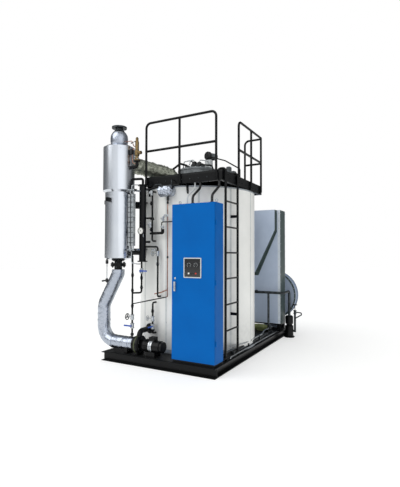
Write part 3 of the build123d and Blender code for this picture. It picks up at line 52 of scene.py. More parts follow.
def addNode(tree, kind, props=None, values=None, links=None):
    node = tree.nodes.new(kind)
    for name, value in (props or {}).items():
        setattr(node, name, value)
    for socket, value in (values or {}).items():
        node.inputs[socket].default_value = value
    for socket, source in (links or {}).items():
        tree.links.new(source, node.inputs[socket])
    return node


# camera: fitted to the photograph, a little below eye height and looking slightly up

viewpoint = {
    "place": (3.075, -5.951, 1.54),
    "turn": 28.73,
    "tilt": 1.607,
    "roll": 0.127,
    "focalPixels": 389.09,
    "imageSize": (400, 487),
}


def makeCamera():
    data = bpy.data.cameras.new("photoCamera")
    data.sensor_fit = "AUTO"
    data.sensor_width = 36
    data.lens = viewpoint["focalPixels"] * data.sensor_width / max(viewpoint["imageSize"])
    camera = bpy.data.objects.new("photoCamera", data)
    bpy.context.scene.collection.objects.link(camera)
    turn, tilt, roll = (math.radians(viewpoint[k]) for k in ("turn", "tilt", "roll"))
    level = Matrix.Rotation(math.pi / 2 + tilt, 4, "X")
    aim = Matrix.Rotation(turn, 4, "Z") @ level @ Matrix.Rotation(roll, 4, "Z")
    camera.matrix_world = Matrix.Translation(viewpoint["place"]) @ aim
    bpy.context.scene.camera = camera


# stage: pale floor, soft sun from the front left, and a world that is white to the camera

studio = {
    "floorColour": "#CFCFCD",
    "floorGlow": 0.46,
    "floorSize": 60.0,
    "keyStrength": 1.5,
    "keyFrom": (-0.55, -0.85, 1.0),
    "keyAngle": 60,
    "fillStrength": 0.26,
    "fillFrom": (0.9, -0.5, 0.45),
    "fillAngle": 60,
    "skyLight": 0.62,
    "coolTint": (0.97, 0.985, 1.0),
    "wallTurn": -10,
    "wallStops": ((0.0, 1.0), (0.07, 1.0), (0.30, 0.45), (0.68, 0.2025), (1.0, 0.18)),
}


def makeStage():
    mesh = bpy.data.meshes.new("floor")
    half = studio["floorSize"] / 2
    mesh.from_pydata([(-half, -half, 0), (half, -half, 0), (half, half, 0), (-half, half, 0)], [],
                     [(0, 1, 2, 3)])
    floor = bpy.data.objects.new("floor", mesh)
    bpy.context.scene.collection.objects.link(floor)
    material = bpy.data.materials.new("paleFloor")
    material.use_nodes = True
    shader = material.node_tree.nodes["Principled BSDF"]
    shader.inputs["Base Color"].default_value = linear(studio["floorColour"])
    shader.inputs["Roughness"].default_value = 0.9
    shader.inputs["Emission Color"].default_value = (1, 1, 1, 1)
    shader.inputs["Emission Strength"].default_value = studio["floorGlow"]
    mesh.materials.append(material)
    for name in ("key", "fill"):
        data = bpy.data.lights.new(name, "SUN")
        data.energy = studio[name + "Strength"]
        data.angle = math.radians(studio[name + "Angle"])
        lamp = bpy.data.objects.new(name, data)
        lamp.rotation_mode = "QUATERNION"
        lamp.rotation_quaternion = Vector(studio[name + "From"]).to_track_quat("Z", "Y")
        bpy.context.scene.collection.objects.link(lamp)


def makeWorld():
    world = bpy.data.worlds.new("studio")
    bpy.context.scene.world = world
    world.use_nodes = True
    tree = world.node_tree
    tree.nodes.clear()
    path = addNode(tree, "ShaderNodeLightPath")
    spot = addNode(tree, "ShaderNodeTexCoord")
    turn = math.radians(viewpoint["turn"] - studio["wallTurn"])
    ahead = addNode(tree, "ShaderNodeVectorMath", {"operation": "DOT_PRODUCT"},
                    {1: (-math.sin(turn), math.cos(turn), 0)}, {0: spot.outputs["Generated"]})
    share = addNode(tree, "ShaderNodeMapRange", None, {1: -1, 2: 1}, {0: ahead.outputs["Value"]})
    ramp = addNode(tree, "ShaderNodeValToRGB", None, None, {0: share.outputs[0]})
    stops, tint = studio["wallStops"], studio["coolTint"]
    while len(ramp.color_ramp.elements) < len(stops):
        ramp.color_ramp.elements.new(0.5)
    for element, (place, grey) in zip(ramp.color_ramp.elements, stops):
        element.position = place
        element.color = tuple(grey * share for share in tint) + (1,)
    lit = addNode(tree, "ShaderNodeBackground", None,
                  {"Color": tint + (1,), "Strength": studio["skyLight"]})
    seen = addNode(tree, "ShaderNodeBackground", None, {"Strength": 1.0}, {"Color": ramp.outputs[0]})
    white = addNode(tree, "ShaderNodeBackground", None, {"Color": (1, 1, 1, 1), "Strength": 1.0})
    gloss = addNode(tree, "ShaderNodeMath", {"operation": "MAXIMUM"}, None,
                    {0: path.outputs["Is Glossy Ray"], 1: path.outputs["Is Transmission Ray"]})
    first = addNode(tree, "ShaderNodeMixShader", None, None,
                    {0: gloss.outputs[0], 1: lit.outputs[0], 2: seen.outputs[0]})
    second = addNode(tree, "ShaderNodeMixShader", None, None,
                     {0: path.outputs["Is Camera Ray"], 1: first.outputs[0], 2: white.outputs[0]})
    addNode(tree, "ShaderNodeOutputWorld", None, None, {0: second.outputs[0]})


makeCamera()
makeStage()
makeWorld()
bpy.context.scene.view_settings.view_transform = "Standard"
print("stage ready")


# finishes: each one is a surface of the real boiler, worked in on Object coordinates; the lit front blue,
# the green-grey and the grey ring also carry painted light and shade

def newFinish(name, colour, roughness, metallic=0.0, coat=0.0):
    material = bpy.data.materials.new(name)
    material.use_nodes = True
    tree = material.node_tree
    shader = tree.nodes["Principled BSDF"]
    shader.inputs["Base Color"].default_value = linear(colour)
    shader.inputs["Roughness"].default_value = roughness
    shader.inputs["Metallic"].default_value = metallic
    shader.inputs["Coat Weight"].default_value = coat
    shader.inputs["Coat Roughness"].default_value = 0.12
    spot = addNode(tree, "ShaderNodeTexCoord")
    return material, tree, shader, spot.outputs["Object"]


def scaled(tree, spot, scale):
    return addNode(tree, "ShaderNodeMapping", None, {"Scale": scale}, {"Vector": spot}).outputs[0]


def mixColours(tree, factor, first, second):
    mix = addNode(tree, "ShaderNodeMix", {"data_type": "RGBA"}, None, {0: factor})
    for socket, colour in ((6, first), (7, second)):
        if isinstance(colour, str):
            mix.inputs[socket].default_value = linear(colour)
        else:
            tree.links.new(colour, mix.inputs[socket])
    return mix.outputs[2]


def bump(tree, shader, height, strength, distance):
    node = addNode(tree, "ShaderNodeBump", None, {"Strength": strength, "Distance": distance},
                   {"Height": height})
    tree.links.new(node.outputs[0], shader.inputs["Normal"])


# sprayed enamel on sheet or section steel: even colour, faint orange peel, dust low down
def enamelled(name, look):
    material, tree, shader, spot = newFinish(name, look["colour"], look["roughness"],
                                             0.0, look.get("coat", 0.0))
    cloud = addNode(tree, "ShaderNodeTexNoise", None,
                    {"Scale": look.get("cloud", 3.0), "Detail": 5.0, "Roughness": 0.6}, {"Vector": spot})
    share = addNode(tree, "ShaderNodeMapRange", None, {1: 0.35, 2: 0.7}, {0: cloud.outputs[0]})
    colour = mixColours(tree, share.outputs[0], look["colour"], look["second"])
    if "dust" in look:
        height = addNode(tree, "ShaderNodeSeparateXYZ", None, None, {0: spot})
        low = addNode(tree, "ShaderNodeMapRange", None,
                      {1: look["dustTop"], 2: look["dustTop"] - 0.35, 3: 0.0, 4: 0.45},
                      {0: height.outputs[2]})
        grain = addNode(tree, "ShaderNodeTexNoise", None, {"Scale": 14.0, "Detail": 6.0}, {"Vector": spot})
        amount = addNode(tree, "ShaderNodeMath", {"operation": "MULTIPLY"}, None,
                         {0: low.outputs[0], 1: grain.outputs[0]})
        colour = mixColours(tree, amount.outputs[0], colour, look["dust"])
    tree.links.new(colour, shader.inputs["Base Color"])
    shader.inputs["Specular IOR Level"].default_value = look.get("specular", 0.5)
    gloss = addNode(tree, "ShaderNodeMapRange", None,
                    {3: look["roughness"] - 0.06, 4: look["roughness"] + 0.10}, {0: cloud.outputs[0]})
    tree.links.new(gloss.outputs[0], shader.inputs["Roughness"])
    peel = addNode(tree, "ShaderNodeTexNoise", None, {"Scale": look.get("peel", 240.0), "Detail": 2.0},
                   {"Vector": spot})
    bump(tree, shader, peel.outputs[0], look.get("relief", 0.12), 0.001)
    return material


enamels = {
    "glossBlackEnamel": {"colour": "#050607", "second": "#0B0C0E", "roughness": 0.28, "cloud": 6.0,
                         "specular": 0.20},
    "blackDeckPaint": {"colour": "#08090A", "second": "#131415", "roughness": 0.45, "cloud": 9.0,
                       "specular": 0.25},
    "creamCasingEnamel": {"colour": "#F2F2EE", "second": "#EAEBE7", "roughness": 0.34, "coat": 0.2,
                          "dust": "#A9ABA8", "dustTop": 0.75},
    # grey ring paint of the base ring and foot; also laid on the casing top as painted shade under the
    # platform
    "greyRingAndPlatformShade": {"colour": "#A3A9AE", "second": "#8F969B", "roughness": 0.42},
    "bluePowderCoat": {"colour": "#005EAC", "second": "#0059A5", "roughness": 0.42, "peel": 420.0,
                       "specular": 0.07},
    "seamEnamel": {"colour": "#D3D6D4", "second": "#C5C9C8", "roughness": 0.36},
    # green-grey: painted shade on the economizer's and flue cover's right sides, the cover's underside and
    # its shade strip; also the scroll rims' own dark colour
    "greenGreyShadeAndRims": {"colour": "#445251", "second": "#384645", "roughness": 0.42, "specular": 0.3},
    # economizer blue lightened as painted light, standing in for the light that the boiler keeps off the
    # economizer's front
    "litFrontBlueEnamel": {"colour": "#B9C6DA", "second": "#AEBCD1", "roughness": 0.40, "coat": 0.1},
    "paleBlueEnamel": {"colour": "#93A0B5", "second": "#A0ACBF", "roughness": 0.40, "coat": 0.1},
    "greyMachineEnamel": {"colour": "#5C6164", "second": "#4B5053", "roughness": 0.45, "cloud": 12.0},
    "drumEnamel": {"colour": "#8C9194", "second": "#4F5457", "roughness": 0.40, "cloud": 7.0},
    "lampGreyPlastic": {"colour": "#C9CCCD", "second": "#BEC2C3", "roughness": 0.45, "peel": 700.0},
    "blackMoulding": {"colour": "#0E0F10", "second": "#17181A", "roughness": 0.40, "peel": 700.0},
    "blueDippedVinyl": {"colour": "#0A3F9A", "second": "#0B4AAE", "roughness": 0.33, "coat": 0.3,
                        "peel": 500.0},
    "lightDial": {"colour": "#EDEDE8", "second": "#E6E6E0", "roughness": 0.5},
    "darkGlass": {"colour": "#08090B", "second": "#0E1013", "roughness": 0.08, "coat": 0.6, "peel": 900.0,
                  "relief": 0.02},
    "blackRubber": {"colour": "#101112", "second": "#1B1C1D", "roughness": 0.7, "peel": 500.0},
    "oliveGasket": {"colour": "#434A2A", "second": "#363C22", "roughness": 0.6, "cloud": 20.0},
    "oliveMachineEnamel": {"colour": "#8D9663", "second": "#767F52", "roughness": 0.4, "cloud": 12.0},
    "paleTrimEnamel": {"colour": "#D6DDE6", "second": "#C9D2DC", "roughness": 0.36},
}


# bright rolled aluminium: vertical draw lines and shallow dents over the insulation
def claddingSheet(name, look):
    material, tree, shader, spot = newFinish(name, look["colour"], look["roughness"], 1.0)
    lines = addNode(tree, "ShaderNodeTexNoise", None, {"Scale": 1.0, "Detail": 3.0},
                    {"Vector": scaled(tree, spot, (240, 240, 3))})
    cloud = addNode(tree, "ShaderNodeTexNoise", None, {"Scale": 3.0, "Detail": 3.0}, {"Vector": spot})
    colour = mixColours(tree, cloud.outputs[0], look["colour"], look["second"])
    tree.links.new(colour, shader.inputs["Base Color"])
    gloss = addNode(tree, "ShaderNodeMapRange", None,
                    {3: look["roughness"] - 0.05, 4: look["roughness"] + 0.10}, {0: lines.outputs[0]})
    tree.links.new(gloss.outputs[0], shader.inputs["Roughness"])
    dents = addNode(tree, "ShaderNodeTexNoise", None, {"Scale": look["dents"], "Detail": 1.0},
                    {"Vector": spot})
    both = addNode(tree, "ShaderNodeMath", {"operation": "MULTIPLY_ADD"}, {1: 0.04},
                   {0: lines.outputs[0], 2: dents.outputs[0]})
    bump(tree, shader, both.outputs[0], look["relief"], 0.01)
    return material


# self-adhesive aluminium foil over rock wool: crinkled, with creases at every scale
def foilWrap(name, look):
    material, tree, shader, spot = newFinish(name, look["colour"], look["roughness"], 1.0)
    crease = addNode(tree, "ShaderNodeTexVoronoi", {"feature": "DISTANCE_TO_EDGE"},
                     {"Scale": look["creases"]}, {"Vector": spot})
    crush = addNode(tree, "ShaderNodeTexNoise", None,
                    {"Scale": look["creases"] * 1.4, "Detail": 6.0, "Roughness": 0.65}, {"Vector": spot})
    relief = addNode(tree, "ShaderNodeMath", {"operation": "MULTIPLY_ADD"}, {1: 0.5},
                     {0: crease.outputs[0], 2: crush.outputs[0]})
    colour = mixColours(tree, crush.outputs[0], look["colour"], look["second"])
    tree.links.new(colour, shader.inputs["Base Color"])
    bump(tree, shader, relief.outputs[0], look["relief"], 0.012)
    return material


def bareMetal(name, look):  # turned, drawn or cast metal with its own tarnish
    material, tree, shader, spot = newFinish(name, look["colour"], look["roughness"], 1.0)
    tarnish = addNode(tree, "ShaderNodeTexNoise", None, {"Scale": look["patches"], "Detail": 6.0},
                      {"Vector": spot})
    share = addNode(tree, "ShaderNodeMapRange", None, {1: 0.38, 2: 0.66}, {0: tarnish.outputs[0]})
    tree.links.new(mixColours(tree, share.outputs[0], look["colour"], look["second"]),
                   shader.inputs["Base Color"])
    gloss = addNode(tree, "ShaderNodeMapRange", None, {3: look["roughness"], 4: look["roughness"] + 0.2},
                    {0: share.outputs[0]})
    tree.links.new(gloss.outputs[0], shader.inputs["Roughness"])
    grain = addNode(tree, "ShaderNodeTexNoise", None, {"Scale": 300.0, "Detail": 2.0}, {"Vector": spot})
    bump(tree, shader, grain.outputs[0], look.get("relief", 0.1), 0.001)
    return material


bareMetals = {
    "castBronze": {"colour": "#8F7A55", "second": "#4E4534", "roughness": 0.36, "patches": 30.0,
                   "relief": 0.3},
    "drawnCopper": {"colour": "#B98F7E", "second": "#8A6A60", "roughness": 0.34, "patches": 18.0},
    "zincPlate": {"colour": "#C9CDD0", "second": "#AEB3B6", "roughness": 0.24, "patches": 40.0},
    "galvanisedSheet": {"colour": "#B9BEC0", "second": "#A4AAAD", "roughness": 0.38, "patches": 22.0},
    "darkSteelPipe": {"colour": "#4E5356", "second": "#36393B", "roughness": 0.38, "patches": 20.0},
}

finishes = {name: enamelled(name, look) for name, look in enamels.items()}
finishes.update({name: bareMetal(name, look) for name, look in bareMetals.items()})
finishes["brightCladding"] = claddingSheet(
    "brightCladding", {"colour": "#D9DDE2", "second": "#C9CED6", "roughness": 0.20, "dents": 3.0,
                       "relief": 0.05})
finishes["foilWrap"] = foilWrap(
    "foilWrap", {"colour": "#C4CAD4", "second": "#9AA2B0", "roughness": 0.24, "creases": 18.0,
                 "relief": 0.35})
finishes["dullFoil"] = foilWrap(
    "dullFoil", {"colour": "#C8CABD", "second": "#7C816F", "roughness": 0.42, "creases": 26.0,
                 "relief": 0.8})


def lampLens(name, colour):  # coloured polycarbonate cap
    material, tree, shader, spot = newFinish(name, colour, 0.15, 0.0, 0.5)
    shader.inputs["Transmission Weight"].default_value = 0.15
    rings = addNode(tree, "ShaderNodeTexWave", {"wave_type": "RINGS"}, {"Scale": 90.0}, {"Vector": spot})
    bump(tree, shader, rings.outputs[1], 0.1, 0.001)
    return material


finishes["redLens"] = lampLens("redLens", "#C92A12")
print("finishes ready:", len(finishes))

nodeFinishes = {
    "glossBlackEnamel": [
        "skid_side_beams", "skid_cross_beams", "platform_frame", "platform_supports", "front_guardrail",
        "right_guardrail", "ladder", "separator_brackets", "separator_pipes",
        "downcomer_flanges", "downcomer_saddle", "pump_casing", "pump_motor", "pump_discharge",
        "water_column",
        "pressure_pipes", "cabinet_plinth", "economizer_stand", "feed_pump", "gas_pipe", "fan_motor",
        "drain_handwheel", "suction_wheel",
    ],
    "blackDeckPaint": ["skid_deck", "platform_deck"],
    "creamCasingEnamel": ["casing_panels"],
    "greyRingAndPlatformShade": ["base_ring", "casing_top"],
    "bluePowderCoat": ["cabinet_body", "cabinet_door"],
    # casing_top takes the grey as painted shade under the platform; the base ring's grey is its own paint
    "paleBlueEnamel": ["economizer_box", "flue_cover", "fan_scroll", "air_duct"],
    "greyMachineEnamel": ["burner_cover"],
    "drumEnamel": ["windbox"],
    "lampGreyPlastic": ["operator_panel", "conduits", "damper_motor"],
    "blackMoulding": ["pressure_gauge"],
    "blueDippedVinyl": ["column_valve_lever", "drain_valve_lever"],
    "brightCladding": [
        "separator_lower_jacket", "separator_upper_jacket", "separator_bottom_cone", "separator_top_head",
    ],
    "foilWrap": ["downcomer", "riser", "sample_cooler"],
    "castBronze": ["safety_valve"],
    "drawnCopper": ["drain_pipes"],
    "zincPlate": ["level_gauges", "gauge_cocks", "valve_bodies", "lifting_eyes", "door_handle"],
    "galvanisedSheet": ["mounting_plate"],
    "darkSteelPipe": ["feed_pipes", "steam_outlet"],
    "redLens": ["indicator_lamps"],
}

for finish, members in nodeFinishes.items():
    for member in members:
        slots = cad[member].data.materials
        slots.clear()
        slots.append(finishes[finish])
        for face in cad[member].data.polygons:
            face.material_index = 0
missing = sorted(set(cad) - {m for members in nodeFinishes.values() for m in members})
print("nodes without a finish:", missing)


# mesh helpers

# one CAD node in several finishes: choose gives the finish from a face's middle
def paintNode(node, names, choose):
    data = cad[node].data
    data.materials.clear()
    for name in names:
        data.materials.append(finishes[name])
    for face in data.polygons:
        face.material_index = choose(face.center, face.normal)


def newPiece(name, source, finish, body="boiler", sharpAngle=35):
    if isinstance(source, bmesh.types.BMesh):
        bmesh.ops.recalc_face_normals(source, faces=source.faces)
        mesh = bpy.data.meshes.new(name)
        source.to_mesh(mesh)
        source.free()
    else:
        mesh = source
    mesh.name = name
    mesh.materials.clear()
    mesh.materials.append(finishes[finish])
    mesh.polygons.foreach_set("material_index", [0] * len(mesh.polygons))
    mesh.shade_smooth()
    mesh.set_sharp_from_angle(angle=math.radians(sharpAngle))
    piece = bpy.data.objects.new(name, mesh)
    bpy.context.scene.collection.objects.link(piece)
    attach(piece, body)
    return piece


# profile: radius and distance along the aim, from axis to axis
def lathe(bm, profile, place, aim=(0, 0, 1), steps=40):
    turn = Vector(aim).to_track_quat("Z", "Y").to_matrix().to_4x4()
    turn.translation = Vector(place)
    rings = []
    for radius, along in profile:
        count = 1 if radius < 1e-6 else steps
        angles = [2 * math.pi * i / steps for i in range(count)]
        rings.append([bm.verts.new(turn @ Vector((radius * math.cos(a), radius * math.sin(a), along)))
                      for a in angles])
    for first, second in zip(rings, rings[1:]):
        for i in range(steps):
            corners = [first[i % len(first)], first[(i + 1) % len(first)],
                       second[(i + 1) % len(second)], second[i % len(second)]]
            unique = list(dict.fromkeys(corners))
            if len(unique) > 2:
                bm.faces.new(unique)


def plate(bm, low, high, edge=0.001):  # a flat plate or housing with its edges broken
    made = bmesh.ops.create_cube(bm, size=1.0)
    size = [b - a for a, b in zip(low, high)]
    middle = [(a + b) / 2 for a, b in zip(low, high)]
    for vert in made["verts"]:
        vert.co = Vector([c * s + m for c, s, m in zip(vert.co, size, middle)])
    edges = list({e for v in made["verts"] for e in v.link_edges})
    bmesh.ops.bevel(bm, geom=edges, offset=min(edge, 0.4 * min(size)), segments=2, affect="EDGES")


# a flat band that closes on itself
def ringOn(bm, inner, outer, low, high, place, aim=(0, 0, 1), steps=64):
    lathe(bm, [(inner, low), (outer, low), (outer, high), (inner, high), (inner, low)], place, aim, steps)
    bmesh.ops.remove_doubles(bm, verts=bm.verts, dist=1e-6)


def prism(bm, loop, lift):  # a flat outline pushed along a vector
    bottom = [bm.verts.new(p) for p in loop]
    top = [bm.verts.new(Vector(p) + Vector(lift)) for p in loop]
    bm.faces.new(bottom[::-1])
    bm.faces.new(top)
    for i in range(len(loop)):
        j = (i + 1) % len(loop)
        bm.faces.new((bottom[i], bottom[j], top[j], top[i]))


def pointMesh(name, rows, edges=()):  # rows: place, direction, size and bend of each point
    mesh = bpy.data.meshes.new(name)
    mesh.from_pydata([row[0] for row in rows], edges, [])
    aims = mesh.attributes.new("aim", "FLOAT_VECTOR", "POINT")
    aims.data.foreach_set("vector", [c for row in rows for c in row[1]])
    for label, column in (("size", 2), ("bend", 3)):
        values = mesh.attributes.new(label, "FLOAT", "POINT")
        values.data.foreach_set("value", [row[column] for row in rows])
    return mesh


def aroundAxis(place, aim, radius, count, size, first=0.5):  # points on a bolt circle
    turn = Vector(aim).to_track_quat("Z", "Y")
    angles = [2 * math.pi * (i + first) / count for i in range(count)]
    return [(Vector(place) + turn @ Vector((radius * math.cos(a), radius * math.sin(a), 0)), aim, size, 0.0)
            for a in angles]


def alongLine(start, end, count, aim, size):  # points in a row
    steps = [i / max(count - 1, 1) for i in range(count)]
    return [(Vector(start).lerp(Vector(end), s), aim, size, 0.0) for s in steps]


# node trees for what repeats, and for tube that follows a run of points

def newTree(name, sockets):
    tree = bpy.data.node_groups.new(name, "GeometryNodeTree")
    tree.interface.new_socket(name="Geometry", in_out="INPUT", socket_type="NodeSocketGeometry")
    for label, kind, value in sockets:
        socket = tree.interface.new_socket(name=label, in_out="INPUT", socket_type=kind)
        if value is not None:
            socket.default_value = value
    tree.interface.new_socket(name="Geometry", in_out="OUTPUT", socket_type="NodeSocketGeometry")
    return tree, addNode(tree, "NodeGroupInput")


def endTree(tree, inputs, geometry):
    real = addNode(tree, "GeometryNodeRealizeInstances", None, None, {0: geometry})
    painted = addNode(tree, "GeometryNodeSetMaterial", None, None,
                      {"Geometry": real.outputs[0], "Material": inputs.outputs["Material"]})
    addNode(tree, "NodeGroupOutput", None, None, {0: painted.outputs[0]})
    return tree


def attribute(tree, name, kind):
    return addNode(tree, "GeometryNodeInputNamedAttribute", {"data_type": kind},
                   {"Name": name}).outputs["Attribute"]


def runTree(tree, points, finish, values=None):
    holder = bpy.data.objects.new("holder", points)
    bpy.context.scene.collection.objects.link(holder)
    modifier = holder.modifiers.new("nodes", "NODES")
    modifier.node_group = tree
    wanted = {"Material": finishes[finish], **(values or {})}
    for item in tree.interface.items_tree:
        if item.in_out == "INPUT" and item.name in wanted:
            modifier[item.identifier] = wanted[item.name]
    grown = holder.evaluated_get(bpy.context.evaluated_depsgraph_get())
    mesh = bpy.data.meshes.new_from_object(grown)
    holder.modifiers.remove(modifier)
    bpy.data.objects.remove(holder)
    return mesh


def instancesOf(tree, points, shape, rotation=None):  # one copy of a shape on each point, turned to its aim
    turned = addNode(tree, "FunctionNodeAlignRotationToVector", {"axis": "Z"}, None,
                     {"Vector": attribute(tree, "aim", "FLOAT_VECTOR")})
    if rotation is not None:
        turned = addNode(tree, "FunctionNodeRotateRotation", {"rotation_space": "LOCAL"}, None,
                         {0: turned.outputs[0], 1: rotation})
    return addNode(tree, "GeometryNodeInstanceOnPoints", None, None, {
        "Points": points, "Instance": shape, "Rotation": turned.outputs[0],
        "Scale": attribute(tree, "size", "FLOAT")}).outputs[0]


def raised(tree, mesh, height):
    return addNode(tree, "GeometryNodeTransform", None, {"Translation": (0, 0, height)},
                   {0: mesh}).outputs[0]


def makeBoltTree():  # hexagon head on a washer; sizes are shares of the head's width
    tree, inputs = newTree("hexBolts", [
        ("Head Height", "NodeSocketFloat", 0.62), ("Washer Radius", "NodeSocketFloat", 0.72),
        ("Material", "NodeSocketMaterial", None)])
    washer = addNode(tree, "GeometryNodeMeshCylinder", None, {"Vertices": 14, "Depth": 0.12},
                     {"Radius": inputs.outputs["Washer Radius"]})
    head = addNode(tree, "GeometryNodeMeshCylinder", None, {"Vertices": 6, "Radius": 0.56},
                   {"Depth": inputs.outputs["Head Height"]})
    half = addNode(tree, "ShaderNodeMath", {"operation": "MULTIPLY_ADD"}, {1: 0.5, 2: 0.12},
                   {0: inputs.outputs["Head Height"]})
    up = addNode(tree, "ShaderNodeCombineXYZ", None, None, {2: half.outputs[0]})
    lifted = addNode(tree, "GeometryNodeTransform", None, None,
                     {0: head.outputs["Mesh"], "Translation": up.outputs[0]})
    stud = addNode(tree, "GeometryNodeMeshCylinder", None, {"Vertices": 10, "Radius": 0.28, "Depth": 0.9})
    bolt = addNode(tree, "GeometryNodeJoinGeometry")
    for part in (raised(tree, washer.outputs["Mesh"], 0.06), lifted.outputs[0],
                 raised(tree, stud.outputs["Mesh"], 0.45)):
        tree.links.new(part, bolt.inputs[0])
    return endTree(tree, inputs, instancesOf(tree, inputs.outputs["Geometry"], bolt.outputs[0]))


def makeRivetTree():  # low domed head
    tree, inputs = newTree("domedRivets",
                           [("Rise", "NodeSocketFloat", 0.35), ("Material", "NodeSocketMaterial", None)])
    dome = addNode(tree, "GeometryNodeMeshUVSphere", None, {"Segments": 10, "Rings": 6, "Radius": 0.5})
    flat = addNode(tree, "ShaderNodeCombineXYZ", None, {0: 1.0, 1: 1.0}, {2: inputs.outputs["Rise"]})
    squashed = addNode(tree, "GeometryNodeTransform", None, None,
                       {0: dome.outputs["Mesh"], "Scale": flat.outputs[0]})
    return endTree(tree, inputs, instancesOf(tree, inputs.outputs["Geometry"], squashed.outputs[0]))


def makeTubeTree():  # drawn tube with swept bends, closed at both ends
    tree, inputs = newTree("tubeRuns", [("Sides", "NodeSocketInt", 14), ("Bend Steps", "NodeSocketInt", 7),
                                        ("Material", "NodeSocketMaterial", None)])
    runs = addNode(tree, "GeometryNodeMeshToCurve", None, None, {0: inputs.outputs["Geometry"]})
    bent = addNode(tree, "GeometryNodeFilletCurve", {"mode": "POLY"}, {"Limit Radius": True},
                   {"Curve": runs.outputs[0], "Count": inputs.outputs["Bend Steps"],
                    "Radius": attribute(tree, "bend", "FLOAT")})
    circle = addNode(tree, "GeometryNodeCurvePrimitiveCircle", None, {"Radius": 1.0},
                     {"Resolution": inputs.outputs["Sides"]})
    tube = addNode(tree, "GeometryNodeCurveToMesh", None, {"Fill Caps": True},
                   {"Curve": bent.outputs[0], "Profile Curve": circle.outputs[0],
                    "Scale": attribute(tree, "size", "FLOAT")})
    return endTree(tree, inputs, tube.outputs[0])


def makeTreadTree():  # raised lozenges of chequer plate, each turned a quarter from its neighbours
    tree, inputs = newTree("chequerLozenges", [
        ("Bar Length", "NodeSocketFloat", 0.03), ("Bar Width", "NodeSocketFloat", 0.008),
        ("Bar Height", "NodeSocketFloat", 0.002), ("Material", "NodeSocketMaterial", None)])
    sizes = addNode(tree, "ShaderNodeCombineXYZ", None, None, {
        0: inputs.outputs["Bar Length"], 1: inputs.outputs["Bar Width"], 2: inputs.outputs["Bar Height"]})
    ball = addNode(tree, "GeometryNodeMeshUVSphere", None, {"Segments": 8, "Rings": 4, "Radius": 0.5})
    bar = addNode(tree, "GeometryNodeTransform", None, None,
                  {0: ball.outputs["Mesh"], "Scale": sizes.outputs[0]})
    index = addNode(tree, "GeometryNodeInputIndex")
    odd = addNode(tree, "ShaderNodeMath", {"operation": "MODULO"}, {1: 2.0}, {0: index.outputs[0]})
    angle = addNode(tree, "ShaderNodeMath", {"operation": "MULTIPLY_ADD"}, {1: math.pi / 2, 2: math.pi / 4},
                    {0: odd.outputs[0]})
    spin = addNode(tree, "FunctionNodeAxisAngleToRotation", None, {"Axis": (0, 0, 1)},
                   {"Angle": angle.outputs[0]})
    return endTree(tree, inputs,
                   instancesOf(tree, inputs.outputs["Geometry"], bar.outputs[0], spin.outputs[0]))


def makeBarTree():  # slim bars standing on their points: cooling fins, gauge windows, dial marks
    tree, inputs = newTree("standingBars", [("Bar Size", "NodeSocketVector", (0.01, 0.003, 0.01)),
                                            ("Material", "NodeSocketMaterial", None)])
    block = addNode(tree, "GeometryNodeMeshCube", None, None, {"Size": inputs.outputs["Bar Size"]})
    return endTree(tree, inputs, instancesOf(tree, inputs.outputs["Geometry"], block.outputs[0]))


boltTree = makeBoltTree()
rivetTree = makeRivetTree()
tubeTree = makeTubeTree()
treadTree = makeTreadTree()
barTree = makeBarTree()


def tubes(name, runs, finish):  # runs: points, tube radius and bend radius
    rows, edges = [], []
    for points, radius, bend in runs:
        edges += [(len(rows) + i, len(rows) + i + 1) for i in range(len(points) - 1)]
        rows += [(Vector(p), (0, 0, 1), radius, bend) for p in points]
    return newPiece(name, runTree(tubeTree, pointMesh(name, rows, edges), finish), finish)


def bolts(name, rows, finish):
    return newPiece(name, runTree(boltTree, pointMesh(name, rows), finish), finish, sharpAngle=20)


def rivets(name, rows, finish, body="boiler"):
    return newPiece(name, runTree(rivetTree, pointMesh(name, rows), finish), finish, body)


# rows: point and bend radius; the creases stand out from the pipe
def foilSleeve(name, rows, radius, wrinkle, fineness, finish="foilWrap"):
    points = [(Vector(point), (0, 0, 1), radius, bend) for point, bend in rows]
    edges = [(i, i + 1) for i in range(len(points) - 1)]
    tube = runTree(tubeTree, pointMesh(name, points, edges), "foilWrap", {"Sides": 44, "Bend Steps": 12})
    sleeve = bmesh.new()
    sleeve.from_mesh(tube)
    for _ in range(7):
        stretched = [edge for edge in sleeve.edges if edge.calc_length() > 0.022]
        if stretched:
            bmesh.ops.subdivide_edges(sleeve, edges=stretched, cuts=1, use_grid_fill=True)
    crumple(sleeve, wrinkle, fineness)
    return newPiece(name, sleeve, finish, sharpAngle=70)


def crumple(bm, wrinkle, fineness):
    bm.normal_update()
    for vert in bm.verts:
        near = noise.turbulence(vert.co * fineness, 3, True, noise_basis="BLENDER")
        vert.co += vert.normal * wrinkle * near


def middleOf(node):
    low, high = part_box(node)
    return (low + high) / 2


print("node trees ready")


# nodes in more than one finish

def pipePaint(centre, normal):  # the thin sample line is bare copper, the drains are black enamel
    slanting = abs(centre.x + 0.235) < 0.12 and 0.97 < centre.z < 1.12 and centre.y < -1.36
    return int(centre.x > -0.04 or slanting)


paintNode("drain_pipes", ["glossBlackEnamel", "drawnCopper"], pipePaint)
paintNode("conduits", ["blackMoulding", "lampGreyPlastic"], lambda centre, normal: int(centre.x < 0.45))
paintNode("indicator_lamps", ["redLens", "lightDial"], lambda centre, normal: int(centre.x < 0.58))

gear = {
    "plateRelief": 0.0275,
    "ductRelief": 0.0838,
    "ductSides": (0.346, 0.814),
    "firstDuct": 0.265,
    "pitch": 0.3672,
    "ductShare": 0.09,
    "ductRows": 6,
    "slotCount": 40,
    "driveTop": 0.60,
    "toggleCounts": (22, 12, 16, 9),
    "toggleStart": 0.392,
    "toggleRun": 0.42,
    "toggleProud": 0.0062,
}

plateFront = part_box("mounting_plate")[1].y - gear["plateRelief"]


